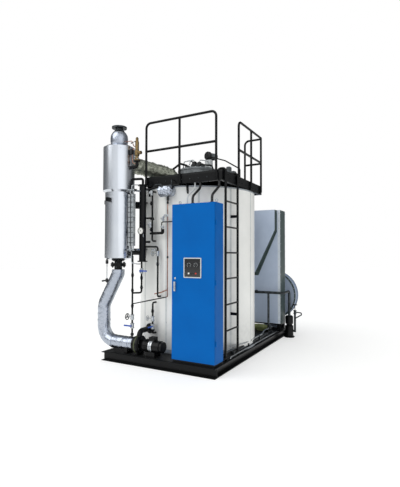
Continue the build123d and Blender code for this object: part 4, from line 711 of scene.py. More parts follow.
# bare plate behind, pale wiring duct, dark devices on their rails, grey drive
def gearPaint(centre, normal):
    if centre.y > plateFront:
        return 0
    row = ((centre.z - gear["firstDuct"]) / gear["pitch"]) % 1.0
    if row < gear["ductShare"] or row > 1 - gear["ductShare"]:
        return 1
    return 3 if centre.z < gear["driveTop"] else 2


paintNode("mounting_plate", ["galvanisedSheet", "lampGreyPlastic", "blackMoulding", "greyMachineEnamel"],
          gearPaint)
# economizer box and flue cover: lighter front blue as painted light; right sides and the cover's underside
# in dark green-grey as painted shade
litFrontAndShadedSide = ["litFrontBlueEnamel", "greenGreyShadeAndRims"]
paintNode("economizer_box", litFrontAndShadedSide, lambda centre, normal: int(normal.x > 0.7))
paintNode("flue_cover", litFrontAndShadedSide, lambda centre, normal: int(normal.x > 0.5 or normal.z < -0.4))


# steam separator: lagging bands with their rivets, lap seams, and the bolts of the flanged joint

separator = {
    "bandWidth": 0.028,
    "bandProud": 0.0014,
    "lowerBands": (0.03,),
    "upperBands": (0.94,),
    "rivetSize": 0.009,
    "rivetsAround": 20,
    "seamTurn": 205,
    "seamHalf": 0.012,
    "seamDepth": 0.004,
    "seamRivets": 12,
    "flangeBolt": 0.022,
    "boltCircle": 0.09,
    "flangeBolts": 8,
    "jointFaces": (1.410, 1.364),
}


def dressSeparator():
    centre = middleOf("separator_lower_jacket")
    bands = bmesh.new()
    studs = []
    seams = bmesh.new()
    for node, shares in (("separator_lower_jacket", "lowerBands"),
                         ("separator_upper_jacket", "upperBands")):
        low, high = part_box(node)
        radius = (high.x - low.x) / 2
        for share in separator[shares]:
            z = low.z + (high.z - low.z) * share
            half = separator["bandWidth"] / 2
            place = (centre.x, centre.y, z)
            ringOn(bands, radius - 0.002, radius + separator["bandProud"], -half, half, place, steps=72)
            for point, _, size, bend in aroundAxis(place, (0, 0, 1), radius + separator["bandProud"],
                                                   separator["rivetsAround"], separator["rivetSize"]):
                studs.append((point, (point - Vector(place)).normalized(), size, bend))
        turn = math.radians(separator["seamTurn"])
        out = Vector((math.cos(turn), math.sin(turn), 0))
        side, spread = Vector((-out.y, out.x, 0)), separator["seamHalf"]
        foot = Vector((centre.x, centre.y, low.z + 0.035))
        corners = [foot + out * (radius + 0.001) + side * s for s in (-spread, spread)]
        lift = Vector((0, 0, high.z - low.z - 0.04))
        prism(seams, [corners[0], corners[1], corners[1] + lift, corners[0] + lift],
              -out * separator["seamDepth"])
        studs += alongLine(foot + out * (radius + 0.001), foot + lift + out * (radius + 0.001),
                           separator["seamRivets"], out, separator["rivetSize"])
    newPiece("jacketBands", bands, "brightCladding")
    newPiece("jacketSeams", seams, "brightCladding")
    rivets("jacketRivets", studs, "zincPlate")
    high, low = separator["jointFaces"]
    circle, count, size = separator["boltCircle"], separator["flangeBolts"], separator["flangeBolt"]
    rows = aroundAxis((centre.x, centre.y, high), (0, 0, 1), circle, count, size)
    rows += aroundAxis((centre.x, centre.y, low), (0, 0, -1), circle, count, size)
    bolts("jointBolts", rows, "darkSteelPipe")


def wrapPipes():
    foilSleeve("downcomerLagging", [
        ((-0.735, -1.5, 1.314), 0), ((-0.735, -1.5, 1.256), 0.10), ((-1.0, -1.5, 0.791), 0.19),
        ((-1.0, -1.5, 0.266), 0.22), ((-0.414, -1.5, 0.266), 0)], 0.0905, 0.0055, 13)
    foilSleeve("riserLagging", [
        ((-0.64, -1.333, 2.893), 0), ((-0.28, -0.70, 2.79), 0.15), ((-0.28, -0.70, 2.524), 0)],
        0.100, 0.026, 21, "dullFoil")
    cuffs = bmesh.new()
    ringOn(cuffs, 0.088, 0.0985, -0.012, 0.012, (-0.80, -1.5, 0.266), (1, 0, 0), 48)
    ringOn(cuffs, 0.088, 0.0985, -0.010, 0.010, (-0.50, -1.5, 0.266), (1, 0, 0), 48)
    ringOn(cuffs, 0.088, 0.0975, -0.010, 0.010, (-1.0, -1.5, 0.56), (0, 0, 1), 48)
    newPiece("laggingCuffs", cuffs, "foilWrap")
    barrel = bmesh.new()
    low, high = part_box("sample_cooler")
    wall = [(0.0735, -0.10 + 0.01 * i) for i in range(21)]
    profile = [(0, -0.108), (0.03, -0.107)] + wall + [(0.03, 0.107), (0, 0.108)]
    lathe(barrel, profile, (0, low.y + 0.072, (low.z + high.z) / 2), (1, 0, 0), 44)
    crumple(barrel, 0.014, 30)
    newPiece("coolerLagging", barrel, "foilWrap", sharpAngle=70)


dressSeparator()
wrapPipes()


# boiler casing: cover strips over the panel seams, a joint belt, pop rivets and a stepped foot

casing = {
    "stripWidth": 0.03,
    "stripProud": 0.0018,
    "panelCount": 12,
    "stripShort": 0.004,
    "rivetMargin": 0.04,
    "rivetShare": 0.62,
    "beltHeight": 1.285,
    "beltWidth": 0.022,
    "rivetPitch": 0.155,
    "rivetSize": 0.0085,
    "footRise": 0.022,
    "footWidth": 0.022,
}


def dressCasing():
    low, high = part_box("casing_panels")
    centre = middleOf("casing_panels")
    radius = (high.x - low.x) / 2
    strips = bmesh.new()
    studs = []
    margin = casing["rivetMargin"]
    count = int((high.z - low.z - 2 * margin) / casing["rivetPitch"])
    for index in range(casing["panelCount"]):
        middle = 2 * math.pi * index / casing["panelCount"]
        half = casing["stripWidth"] / 2 / radius
        outer, inner = [], []
        for step in range(5):
            turn = middle - half + 2 * half * step / 4
            out = Vector((math.cos(turn), math.sin(turn), 0))
            base = Vector((centre.x, centre.y, 0))
            outer.append(base + out * (radius + casing["stripProud"]))
            inner.append(base + out * (radius - 0.002))
        loop = outer + inner[::-1]
        short = casing["stripShort"]
        prism(strips, [p + Vector((0, 0, low.z + short)) for p in loop], (0, 0, high.z - low.z - 2 * short))
        for side in (-casing["rivetShare"], casing["rivetShare"]):
            turn = middle + half * side
            out = Vector((math.cos(turn), math.sin(turn), 0))
            foot = Vector((centre.x, centre.y, 0)) + out * (radius + casing["stripProud"])
            studs += alongLine(foot + Vector((0, 0, low.z + margin)),
                               foot + Vector((0, 0, high.z - margin)), count, out, casing["rivetSize"])
    belt = bmesh.new()
    half = casing["beltWidth"] / 2
    ringOn(belt, radius - 0.002, radius + 0.0012, -half, half, (centre.x, centre.y, casing["beltHeight"]),
           steps=128)
    newPiece("seamStrips", strips, "seamEnamel")
    newPiece("jointBelt", belt, "creamCasingEnamel")
    rivets("casingRivets", studs, "zincPlate")
    foot = bmesh.new()
    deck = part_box("skid_deck")[1].z
    ringOn(foot, radius - 0.01, radius + casing["footWidth"], 0, casing["footRise"],
           (centre.x, centre.y, deck), steps=128)
    newPiece("casingFoot", foot, "greyRingAndPlatformShade")


dressCasing()
print("separator and casing dressed")


# front instruments: sight-glass windows and their bolts, dial, cocks, unions, valve wheels and thin tubes

instruments = {
    "windowCount": 9,
    "windowSize": (0.0145, 0.058, 0.006),
    "windowDepth": 0.0165,
    "frameWidth": 0.038,
    "endMargin": 0.045,
    "boltSpread": 0.0135,
    "gaugeBolt": 0.0095,
    "dialFace": 0.043,
    "dialMarks": 17,
    "dialSweep": 270,
    "cockHandle": 0.0065,
    "wheelRadius": 0.034,
}


def dressGauges():
    low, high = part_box("level_gauges")
    width, margin, spread = (instruments[key] for key in ("frameWidth", "endMargin", "boltSpread"))
    glass, studs = [], []
    for x in (low.x + width / 2, high.x - width / 2):
        slotTop, slotBottom = high.z - margin, low.z + margin
        pitch = (slotTop - slotBottom) / instruments["windowCount"]
        for index in range(instruments["windowCount"]):
            z = slotBottom + pitch * (index + 0.5)
            glass.append(((x, low.y + instruments["windowDepth"], z), (0, -1, 0), 1.0, 0.0))
        for side in (-spread, spread):
            for index in range(instruments["windowCount"] + 1):
                z = slotBottom + pitch * index
                studs.append(((x + side, low.y, z), (0, -1, 0), instruments["gaugeBolt"], 0.0))
    mesh = runTree(barTree, pointMesh("gaugeWindows", glass), "darkGlass",
                   {"Bar Size": instruments["windowSize"]})
    newPiece("gaugeWindows", mesh, "darkGlass")
    bolts("gaugeBolts", studs, "darkSteelPipe")


def dialAngle(index, count):
    sweep = math.radians(instruments["dialSweep"])
    return -math.pi / 2 - (math.pi - sweep / 2) - sweep * index / (count - 1)


def dialPiece(name, centre, aim, radius):  # white face with marks and a needle
    turn = Vector(aim).to_track_quat("Z", "Y")
    place = Vector(centre)
    face = bmesh.new()
    lathe(face, [(0, 0), (radius, 0), (radius, 0.0012), (0, 0.0012)], place, aim, 40)
    newPiece(name + "Face", face, "lightDial")
    marks = []
    for index in range(instruments["dialMarks"]):
        a = dialAngle(index, instruments["dialMarks"])
        out = turn @ Vector((math.cos(a), math.sin(a), 0))
        marks.append((place + out * radius * 0.84 + Vector(aim) * 0.0014, out, 1.0, 0.0))
    mesh = runTree(barTree, pointMesh(name + "Marks", marks), "blackMoulding",
                   {"Bar Size": (radius * 0.035, radius * 0.035, radius * 0.16)})
    newPiece(name + "Marks", mesh, "blackMoulding")
    needle = bmesh.new()
    a = math.radians(118)
    out = turn @ Vector((math.cos(a), math.sin(a), 0))
    side = out.cross(Vector(aim))
    base = place + Vector(aim) * 0.0018
    tip = [base - side * radius * 0.05 - out * radius * 0.2,
           base + side * radius * 0.05 - out * radius * 0.2, base + out * radius * 0.72]
    prism(needle, tip, Vector(aim) * 0.0012)
    lathe(needle, [(0, -0.0004), (radius * 0.12, -0.0004), (radius * 0.1, 0.002), (0, 0.002)],
          base, aim, 20)
    newPiece(name + "Needle", needle, "blackMoulding")


def dialNumbers(name, centre, radius, labels):
    joined = bmesh.new()
    for index, label in enumerate(labels):
        a = dialAngle(index, len(labels))
        text = bpy.data.curves.new(name, "FONT")
        text.body = label
        text.size = radius * 0.26
        text.align_x = "CENTER"
        text.align_y = "CENTER"
        text.extrude = 0.0003
        holder = bpy.data.objects.new(name, text)
        bpy.context.scene.collection.objects.link(holder)
        mesh = bpy.data.meshes.new_from_object(holder)
        bpy.data.objects.remove(holder)
        spot = Vector(centre) + Vector((math.cos(a), 0, math.sin(a))) * radius * 0.6
        upright = Matrix.Rotation(math.pi / 2, 4, "X")
        mesh.transform(Matrix.Translation(spot + Vector((0, -0.0016, 0))) @ upright)
        joined.from_mesh(mesh)
    bmesh.ops.remove_doubles(joined, verts=joined.verts, dist=1e-7)
    newPiece(name, joined, "blackMoulding")


def dressDial():
    low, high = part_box("pressure_gauge")
    centre = ((low.x + high.x) / 2, low.y + 0.004, (low.z + high.z) / 2)
    dialPiece("boilerDial", centre, (0, -1, 0), instruments["dialFace"])
    dialNumbers("boilerDialNumbers", centre, instruments["dialFace"], ["0", "4", "8", "12", "16"])


def dressValves():
    handles = bmesh.new()
    nuts = []
    low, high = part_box("gauge_cocks")
    for z in (low.z + 0.018, high.z - 0.018):
        for x in (-0.473, -0.417):
            nuts.append(((x, low.y + 0.012, z), (0, -1, 0), 0.022, 0.0))
            lathe(handles, [(0, 0), (instruments["cockHandle"], 0), (instruments["cockHandle"] * 0.8, 0.05),
                            (instruments["cockHandle"] * 1.5, 0.055),
                            (instruments["cockHandle"] * 1.5, 0.066), (0, 0.070)],
                  (x, low.y + 0.006, z), (0.35, 0, -1), 16)
        for end in (low.x, high.x):
            lathe(handles, [(0, -0.004), (0.013, -0.004), (0.015, 0.006), (0.013, 0.014), (0, 0.014)],
                  (end, -1.56, z), (-1 if end == low.x else 1, 0, 0), 16)
    newPiece("cockHandles", handles, "blackMoulding")
    bolts("cockNuts", nuts, "zincPlate")
    wheels = bmesh.new()
    for x, y, z in ((-0.240, -1.3245, 0.6116), (-0.156, -1.3245, 1.550)):
        hub = (x - 0.087, y, z)
        outer = instruments["wheelRadius"]
        tubeRadius = 0.0045
        rim = [(outer + tubeRadius * math.cos(t), tubeRadius * math.sin(t)) for t in
               [2 * math.pi * i / 10 for i in range(11)]]
        lathe(wheels, rim, (hub[0] - 0.004, y, z), (-1, 0, 0), 28)
        lathe(wheels, [(0, 0), (0.010, 0), (0.010, 0.011), (0, 0.011)], hub, (-1, 0, 0), 16)
        for turn in (0, 120, 240):
            a = math.radians(turn + 30)
            out = Vector((0, math.cos(a), math.sin(a)))
            start = Vector((hub[0] - 0.004, y, z))
            lathe(wheels, [(0, 0.006), (0.0032, 0.006), (0.0032, outer), (0, outer)], start, out, 8)
    bmesh.ops.remove_doubles(wheels, verts=wheels.verts, dist=1e-6)
    newPiece("smallHandwheels", wheels, "zincPlate")
    butterfly = bmesh.new()
    spot = (-0.240, -1.3245 - 0.046, 0.4986)
    for side in (-1, 1):
        lathe(butterfly, [(0, 0.0), (0.006, 0.0), (0.009, 0.02), (0.011, 0.036), (0.007, 0.044),
                          (0, 0.046)], spot,
              (side, -0.25, 0.35 * side), 16)
    lathe(butterfly, [(0, -0.006), (0.012, -0.006), (0.012, 0.006), (0, 0.006)], spot, (0, -1, 0), 20)
    newPiece("butterflyHandle", butterfly, "blueDippedVinyl")


def dressFrontPipes():
    unions = []
    for x, y, z, size in (
            (-0.47, -1.5, 1.24, 0.034), (-0.47, -1.5, 1.02, 0.034), (-0.47, -1.5, 0.80, 0.034),
            (-0.385, -1.4, 1.20, 0.034), (-0.385, -1.4, 1.06, 0.034), (-0.156, -1.324, 1.40, 0.034),
            (-0.256, -1.345, 1.90, 0.034), (-0.256, -1.345, 2.28, 0.034), (-0.240, -1.324, 0.72, 0.034),
            (0.0, -1.303, 2.28, 0.026), (0.0, -1.303, 1.50, 0.022)):
        for way in (1, -1):
            unions.append(((x, y, z), (0, 0, way), size, 0.0))
    bolts("pipeUnions", unions, "glossBlackEnamel")
    tubes("impulseTubes", [
        ([(-0.445, -1.56, 1.60), (-0.445, -1.56, 1.42), (-0.385, -1.50, 1.40), (-0.385, -1.42, 1.40)],
         0.0065, 0.03),
        ([(-0.33, -1.44, 1.874), (-0.33, -1.44, 1.79), (-0.33, -1.40, 1.79)], 0.005, 0.015),
        ([(-0.445, -1.56, 2.46), (-0.445, -1.56, 2.53), (-0.40, -1.46, 2.545)], 0.0065, 0.025),
    ], "zincPlate")
    tubes("coolerTubes", [
        ([(0.085, -1.34, 2.50), (0.085, -1.34, 2.60), (0.085, -1.18, 2.60)], 0.008, 0.03),
        ([(-0.085, -1.345, 2.50), (-0.085, -1.345, 2.545), (-0.20, -1.345, 2.545), (-0.256, -1.345, 2.47)],
         0.008, 0.02),
    ], "darkSteelPipe")
    tubes("reliefTube", [([(-0.215, -1.312, 0.968), (-0.10, -1.312, 0.995), (-0.004, -1.306, 1.035)],
                          0.0085, 0.02)],
          "drawnCopper")
    tubes("gaugeBranch", [
        ([(-0.275, -1.342, 1.842), (-0.052, -1.342, 1.842), (-0.052, -1.342, 1.90)], 0.017, 0.02),
        ([(-0.33, -1.358, 2.065), (-0.215, -1.358, 2.065)], 0.013, 0.01),
        ([(-0.275, -1.342, 1.72), (-0.33, -1.39, 1.72)], 0.016, 0.01),
        ([(-0.40, -1.42, 2.49), (-0.28, -1.35, 2.49), (-0.10, -1.34, 2.52), (0.20, -1.31, 2.52)],
         0.014, 0.03),
    ], "glossBlackEnamel")
    bodies = bmesh.new()
    for place, aim, radius, half in (((-0.275, -1.345, 1.965), (0, 0, 1), 0.023, 0.04),
                                     ((-0.052, -1.342, 2.05), (0, 0, 1), 0.022, 0.035),
                                     ((-0.052, -1.342, 1.93), (0, 0, 1), 0.019, 0.02),
                                     ((0.0, -1.342, 2.092), (1, 0, 0), 0.018, 0.03),
                                     ((-0.256, -1.345, 2.43), (0, 0, 1), 0.022, 0.035),
                                     ((-0.21, -1.34, 1.60), (1, 0, 0), 0.022, 0.035)):
        lathe(bodies, [(0, -half), (radius * 0.8, -half), (radius, -half * 0.6), (radius * 0.7, 0),
                       (radius, half * 0.6), (radius * 0.8, half), (0, half)], place, aim, 18)
        lathe(bodies, [(0, 0), (0.008, 0), (0.008, 0.03), (0.018, 0.032), (0.018, 0.040), (0, 0.042)],
              place, (0, -1, 0), 16)
    newPiece("instrumentCocks", bodies, "zincPlate")
    fittings = bmesh.new()
    lathe(fittings, [(0, -0.03), (0.014, -0.03), (0.018, -0.018), (0.018, 0.018), (0.014, 0.03), (0, 0.03)],
          (0.0, -1.303, 2.335), (0, 0, 1), 20)
    lathe(fittings, [(0, 0), (0.021, 0), (0.024, 0.008), (0.024, 0.03), (0.018, 0.036), (0, 0.036)],
          (-0.47, -1.5, 0.412), (0, 0, -1), 24)
    newPiece("pipeCaps", fittings, "blackMoulding")
    tubes("tapTube", [([(-0.90, -1.56, 1.47), (-0.90, -1.56, 1.17)], 0.007, 0.01)], "zincPlate")
    sideCock = bmesh.new()
    lathe(sideCock, [(0, -0.012), (0.017, -0.012), (0.021, 0), (0.021, 0.035), (0.012, 0.045),
                     (0.012, 0.075), (0, 0.075)],
          (-0.90, -1.56, 1.41), (0, 0, 1), 20)
    newPiece("separatorCock", sideCock, "blackMoulding")
    lever = bmesh.new()
    lathe(lever, [(0, -0.03), (0.016, -0.03), (0.020, -0.015), (0.020, 0.015), (0.016, 0.03), (0, 0.03)],
          (-0.90, -1.56, 1.155), (0, 0, 1), 20)
    lathe(lever, [(0, 0), (0.009, 0), (0.012, 0.03), (0.014, 0.085), (0, 0.09)],
          (-0.905, -1.56, 1.155), (-1, 0, -0.15), 14)
    newPiece("sampleCockLever", lever, "blackMoulding")


def dressSafetyValve():
    low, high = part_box("safety_valve")
    x, y = -0.404, -1.5
    rows = aroundAxis((x, y, low.z + 0.016), (0, 0, 1), 0.036, 4, 0.013)
    bolts("safetyBolts", rows, "zincPlate")
    cap = bmesh.new()
    lathe(cap, [(0, -0.002), (0.019, -0.002), (0.021, 0.004), (0.019, 0.012), (0, 0.012)],
          (x, y, high.z - 0.03), (0, 0, 1), 24)
    lathe(cap, [(0, 0), (0.005, 0), (0.005, 0.085), (0.009, 0.09), (0.009, 0.1), (0, 0.103)],
          (x, y, high.z - 0.045), (-0.75, -0.3, -0.35), 12)
    newPiece("easingLever", cap, "blackMoulding")
    tubes("safetyTubes", [
        ([(-0.64, -1.5, 3.19), (-0.50, -1.5, 3.19), (-0.46, -1.5, 3.10), (-0.43, -1.5, 3.10)],
         0.0065, 0.03),
        ([(-0.404, -1.5, 2.83), (-0.46, -1.53, 2.86), (-0.47, -1.53, 3.02), (-0.44, -1.52, 3.07)],
         0.006, 0.03),
    ], "drawnCopper")
    bulb = bmesh.new()
    centre = middleOf("steam_outlet")
    lathe(bulb, [(0.08, 3.135), (0.105, 3.14), (0.121, 3.165), (0.128, 3.205), (0.128, 3.255),
                 (0.120, 3.30), (0.098, 3.335),
                 (0.08, 3.345), (0.08, 3.135)], (centre.x, centre.y, 0), (0, 0, 1), 48)
    bmesh.ops.remove_doubles(bulb, verts=bulb.verts, dist=1e-6)
    newPiece("neckLagging", bulb, "foilWrap")
    switch = bmesh.new()
    plate(switch, (-0.498, -1.556, 2.98), (-0.452, -1.508, 3.055), 0.006)
    newPiece("pressureSwitch", switch, "blackMoulding")


dressGauges()
dressDial()
dressValves()
dressFrontPipes()
dressSafetyValve()
print("instruments dressed")


# cabinet: panel face with meters, knobs and screws, the door's lock and seal, glands, and the gear inside

cabinet = {
    "faceInset": 0.013,
    "meterRadius": 0.036,
    "meterSpread": 0.05,
    "meterHeight": 0.035,
    "screwSize": 0.007,
    "sealWidth": 0.010,
    "meterMarks": 15,
    "knobSpread": 0.02,
    "sealDepth": 0.012,
}


def dressCabinet():
    low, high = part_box("operator_panel")
    inset = cabinet["faceInset"]
    face = bmesh.new()
    front = low.y + 0.003
    plate(face, (low.x + inset, front - 0.0015, low.z + inset),
          (high.x - inset, front + 0.0005, high.z - inset), 0.0008)
    newPiece("panelFace", face, "darkGlass", "cabinet_door_leaf")
    centre = (low + high) / 2
    rings, marks = bmesh.new(), []
    for side in (-1, 1):
        place = Vector((centre.x + side * cabinet["meterSpread"],
                        front - 0.0015, centre.z + cabinet["meterHeight"]))
        radius = cabinet["meterRadius"]
        ringOn(rings, radius * 0.93, radius, 0, 0.0022, place, (0, -1, 0), 40)
        lathe(rings, [(0, 0), (radius * 0.16, 0), (radius * 0.12, 0.003), (0, 0.003)],
              place, (0, -1, 0), 20)
        for index in range(cabinet["meterMarks"]):
            a = math.radians(225 - 270 * index / (cabinet["meterMarks"] - 1))
            out = Vector((math.cos(a), 0, math.sin(a)))
            marks.append((place + out * radius * 0.72 + Vector((0, -0.0012, 0)), out, 1.0, 0.0))
        a = math.radians(120 - 60 * side)
        out = Vector((math.cos(a), 0, math.sin(a)))
        lathe(rings, [(0, 0), (0.0016, 0), (0.0008, radius * 0.7), (0, radius * 0.7)],
              place + Vector((0, -0.002, 0)), out, 8)
    bmesh.ops.remove_doubles(rings, verts=rings.verts, dist=1e-6)
    newPiece("panelMeters", rings, "darkSteelPipe", "cabinet_door_leaf")
    mesh = runTree(barTree, pointMesh("meterMarks", marks), "lampGreyPlastic",
                   {"Bar Size": (0.0018, 0.0012, 0.008)})
    newPiece("meterMarks", mesh, "lampGreyPlastic", "cabinet_door_leaf")
    knobs = bmesh.new()
    for x in (centre.x - cabinet["knobSpread"], centre.x + cabinet["knobSpread"]):
        lathe(knobs, [(0, 0), (0.011, 0), (0.011, 0.004), (0.007, 0.006), (0.006, 0.014), (0, 0.015)],
              (x, front - 0.0015, centre.z - 0.073), (0, -1, 0), 20)
    newPiece("panelKnobs", knobs, "blackMoulding", "cabinet_door_leaf")
    corners = [((x, low.y, z), (0, -1, 0), cabinet["screwSize"], 0.0)
               for x in (low.x + 0.007, high.x - 0.007) for z in (low.z + 0.007, high.z - 0.007)]
    rivets("panelScrews", corners, "zincPlate", "cabinet_door_leaf")
    doorLow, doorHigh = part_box("cabinet_door")
    lock = bmesh.new()
    lathe(lock, [(0, -0.001), (0.013, -0.001), (0.013, 0.003), (0.010, 0.005), (0, 0.005)],
          (0.315, doorLow.y, 1.225), (0, -1, 0), 24)
    newPiece("doorLock", lock, "zincPlate", "cabinet_door_leaf")
    seal = bmesh.new()
    width, deep = cabinet["sealWidth"], cabinet["sealDepth"]
    back = doorLow.y + 0.003
    left, right, bottom, top = 0.282, 0.878, doorLow.z + 0.02, doorHigh.z - 0.02
    for a, b in (((left, back, bottom), (left + width, back + deep, top)),
                 ((right - width, back, bottom), (right, back + deep, top)),
                 ((left + width, back, bottom), (right - width, back + deep, bottom + width)),
                 ((left + width, back, top - width), (right - width, back + deep, top))):
        plate(seal, a, b, 0.003)
    newPiece("doorSeal", seal, "blackRubber", "cabinet_door_leaf")
    gland = bmesh.new()
    for x, radius in ((0.411, 0.017), (0.507, 0.024), (0.79, 0.024)):
        lathe(gland, [(0, -0.001), (radius, -0.001), (radius, 0.004), (0, 0.004)],
              (x, -1.4595, 2.205), (0, 0, 1), 6)
    newPiece("glandNuts", gland, "blackMoulding")


def dressGear():  # slots in the wiring duct and toggles on the devices
    slots, toggles = [], []
    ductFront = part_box("mounting_plate")[1].y - gear["ductRelief"]
    left, right = gear["ductSides"]
    bottom, pitch, count = gear["firstDuct"], gear["pitch"], gear["slotCount"]
    for row in range(gear["ductRows"]):
        z = bottom + pitch * row
        slots += [((left + (right - left) * (i + 0.5) / count, ductFront, z), (0, 0, 1), 1.0, 0.0)
                  for i in range(count)]
    front = ductFront - gear["toggleProud"]
    start, run = gear["toggleStart"], gear["toggleRun"]
    for row, count in enumerate(gear["toggleCounts"], 1):
        z = bottom + pitch * (row + 0.5)
        toggles += [((start + run * (i + 0.5) / count, front, z), (0, -1, 0), 1.0, 0.0)
                    for i in range(count)]
    mesh = runTree(barTree, pointMesh("ductSlots", slots), "blackMoulding",
                   {"Bar Size": (0.004, 0.002, 0.026)})
    newPiece("ductSlots", mesh, "greyMachineEnamel")
    mesh = runTree(barTree, pointMesh("breakerToggles", toggles), "blackMoulding",
                   {"Bar Size": (0.009, 0.022, 0.010)})
    newPiece("breakerToggles", mesh, "lampGreyPlastic")


dressCabinet()
dressGear()
print("cabinet dressed")


# burner top: clamp bolts, blower motor, solenoids, air and gas tubes, and the gauge on the gas line

burner = {
    "boltCircle": 0.311,
    "boltCount": 24,
    "boltSize": 0.016,
    "coverTop": 2.951,
    "dial": (0.416, -0.418, 2.815),
}


def dressBurner():
    centre = middleOf("windbox")
    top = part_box("windbox")[1].z
    rows = aroundAxis((centre.x, centre.y, top), (0, 0, 1), burner["boltCircle"], burner["boltCount"],
                      burner["boltSize"])
    bolts("windboxBolts", rows, "zincPlate")
    motor = bmesh.new()
    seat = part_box("damper_motor")[1].z
    place = Vector((0.17, -0.31, seat + 0.068))
    aim = Vector((-0.45, -0.89, 0)).normalized()
    lathe(motor, [(0, -0.12), (0.05, -0.12), (0.055, -0.115), (0.055, 0.02), (0, 0.02)], place, aim, 32)
    newPiece("igniterMotor", motor, "greyMachineEnamel")
    cap = bmesh.new()
    lathe(cap, [(0, 0.015), (0.066, 0.015), (0.070, 0.022), (0.070, 0.062), (0.058, 0.078), (0, 0.080)],
          place, aim, 36)
    plate(cap, (0.125, -0.35, seat - 0.001), (0.215, -0.27, seat + 0.02), 0.004)
    newPiece("motorCap", cap, "blackMoulding")
    boxes = bmesh.new()
    cover = burner["coverTop"]
    plate(boxes, (-0.02, -0.585, cover - 0.001), (0.045, -0.53, cover + 0.075), 0.006)
    plate(boxes, (0.065, -0.56, cover - 0.001), (0.12, -0.51, cover + 0.065), 0.006)
    plate(boxes, (-0.20, -0.50, cover - 0.001), (-0.13, -0.43, cover + 0.045), 0.006)
    newPiece("gasSolenoids", boxes, "blackMoulding")
    tubes("pilotTubes", [
        ([(0.01, -0.56, cover + 0.05), (0.01, -0.56, cover + 0.105), (-0.20, -0.52, cover + 0.105),
          (-0.26, -0.46, cover)],
         0.008, 0.03),
        ([(0.09, -0.535, cover + 0.05), (0.09, -0.535, cover + 0.10), (0.20, -0.45, cover + 0.09),
          (0.26, -0.36, cover - 0.09)],
         0.008, 0.03),
        ([(-0.05, -0.45, cover + 0.09), (-0.05, -0.58, cover + 0.09), (-0.05, -0.61, cover + 0.02)],
         0.010, 0.03),
    ], "zincPlate")
    tubes("stayRods", [
        ([(0.12, -0.55, cover + 0.02), (0.33, -0.56, 2.93), (0.42, -0.62, 2.70), (0.42, -0.62, 2.661)],
         0.013, 0.04),
        ([(0.19, -0.35, 3.13), (0.504, -0.45, 3.01), (0.755, -0.45, 2.854), (0.755, -0.45, 2.661)],
         0.010, 0.04),
        ([(-0.44, -0.70, 2.521), (-0.44, -0.70, 2.83), (-0.19, -0.66, 2.995), (-0.12, -0.56, 2.975)],
         0.017, 0.03),
    ], "glossBlackEnamel")
    dial = burner["dial"]
    gauge = bmesh.new()
    lathe(gauge, [(0, 0.0), (0.046, 0.0), (0.050, 0.004), (0.050, 0.030), (0.044, 0.032), (0.044, 0.026),
                  (0, 0.026)],
          (dial[0], dial[1] + 0.032, dial[2]), (0, -1, 0), 40)
    lathe(gauge, [(0, -0.002), (0.012, -0.002), (0.012, 0.05), (0, 0.05)],
          (dial[0], -0.392, 2.815), (0, 1, 0.55), 18)
    newPiece("gasGaugeCase", gauge, "blackMoulding")
    dialPiece("gasGauge", (dial[0], dial[1] + 0.006, dial[2]), (0, -1, 0), 0.042)
    valves = bmesh.new()
    lathe(valves, [(0, -0.06), (0.03, -0.06), (0.036, -0.045), (0.036, 0.045), (0.03, 0.06), (0, 0.06)],
          (0.42, -0.12, 2.861), (0, 1, 0), 28)
    plate(valves, (0.385, -0.16, 2.88), (0.455, -0.08, 2.985), 0.008)
    lathe(valves, [(0, -0.045), (0.034, -0.045), (0.04, -0.034), (0.04, 0.034), (0.034, 0.045), (0, 0.045)],
          (0.42, 0.06, 2.861), (0, 1, 0), 28)
    lathe(valves, [(0, 0.03), (0.02, 0.03), (0.05, 0.05), (0.05, 0.075), (0.02, 0.09), (0, 0.09)],
          (0.42, 0.06, 2.861), (0, 0, 1), 28)
    newPiece("gasTrain", valves, "greyMachineEnamel")


dressBurner()
print("burner dressed")


# pumps and motors: cooling fins, bright straps, bolts, and the green feed booster under the economizer

machines = {
    "finCount": 30,
    "finWidth": 0.0024,
    "pumpBolt": 0.016,
    "strapRadius": 0.0905,
    "fanAxis": (0.65, 0.76),
    "scrollFaces": (1.40, 1.59),
    "scrollBolts": (0.449, 30, 0.014),
}


def finsAround(name, centre, aim, radius, length, count, height):
    turn = Vector(aim).to_track_quat("Z", "Y")
    rows = []
    for index in range(count):
        a = 2 * math.pi * index / count
        out = turn @ Vector((math.cos(a), math.sin(a), 0))
        rows.append((Vector(centre) + out * (radius + height * 0.35), out, 1.0, 0.0))
    long = abs(Vector(aim).x) > 0.5
    width = machines["finWidth"]
    size = (length, width, height) if long else (width, length, height)
    mesh = runTree(barTree, pointMesh(name, rows), "glossBlackEnamel", {"Bar Size": size})
    newPiece(name, mesh, "glossBlackEnamel")


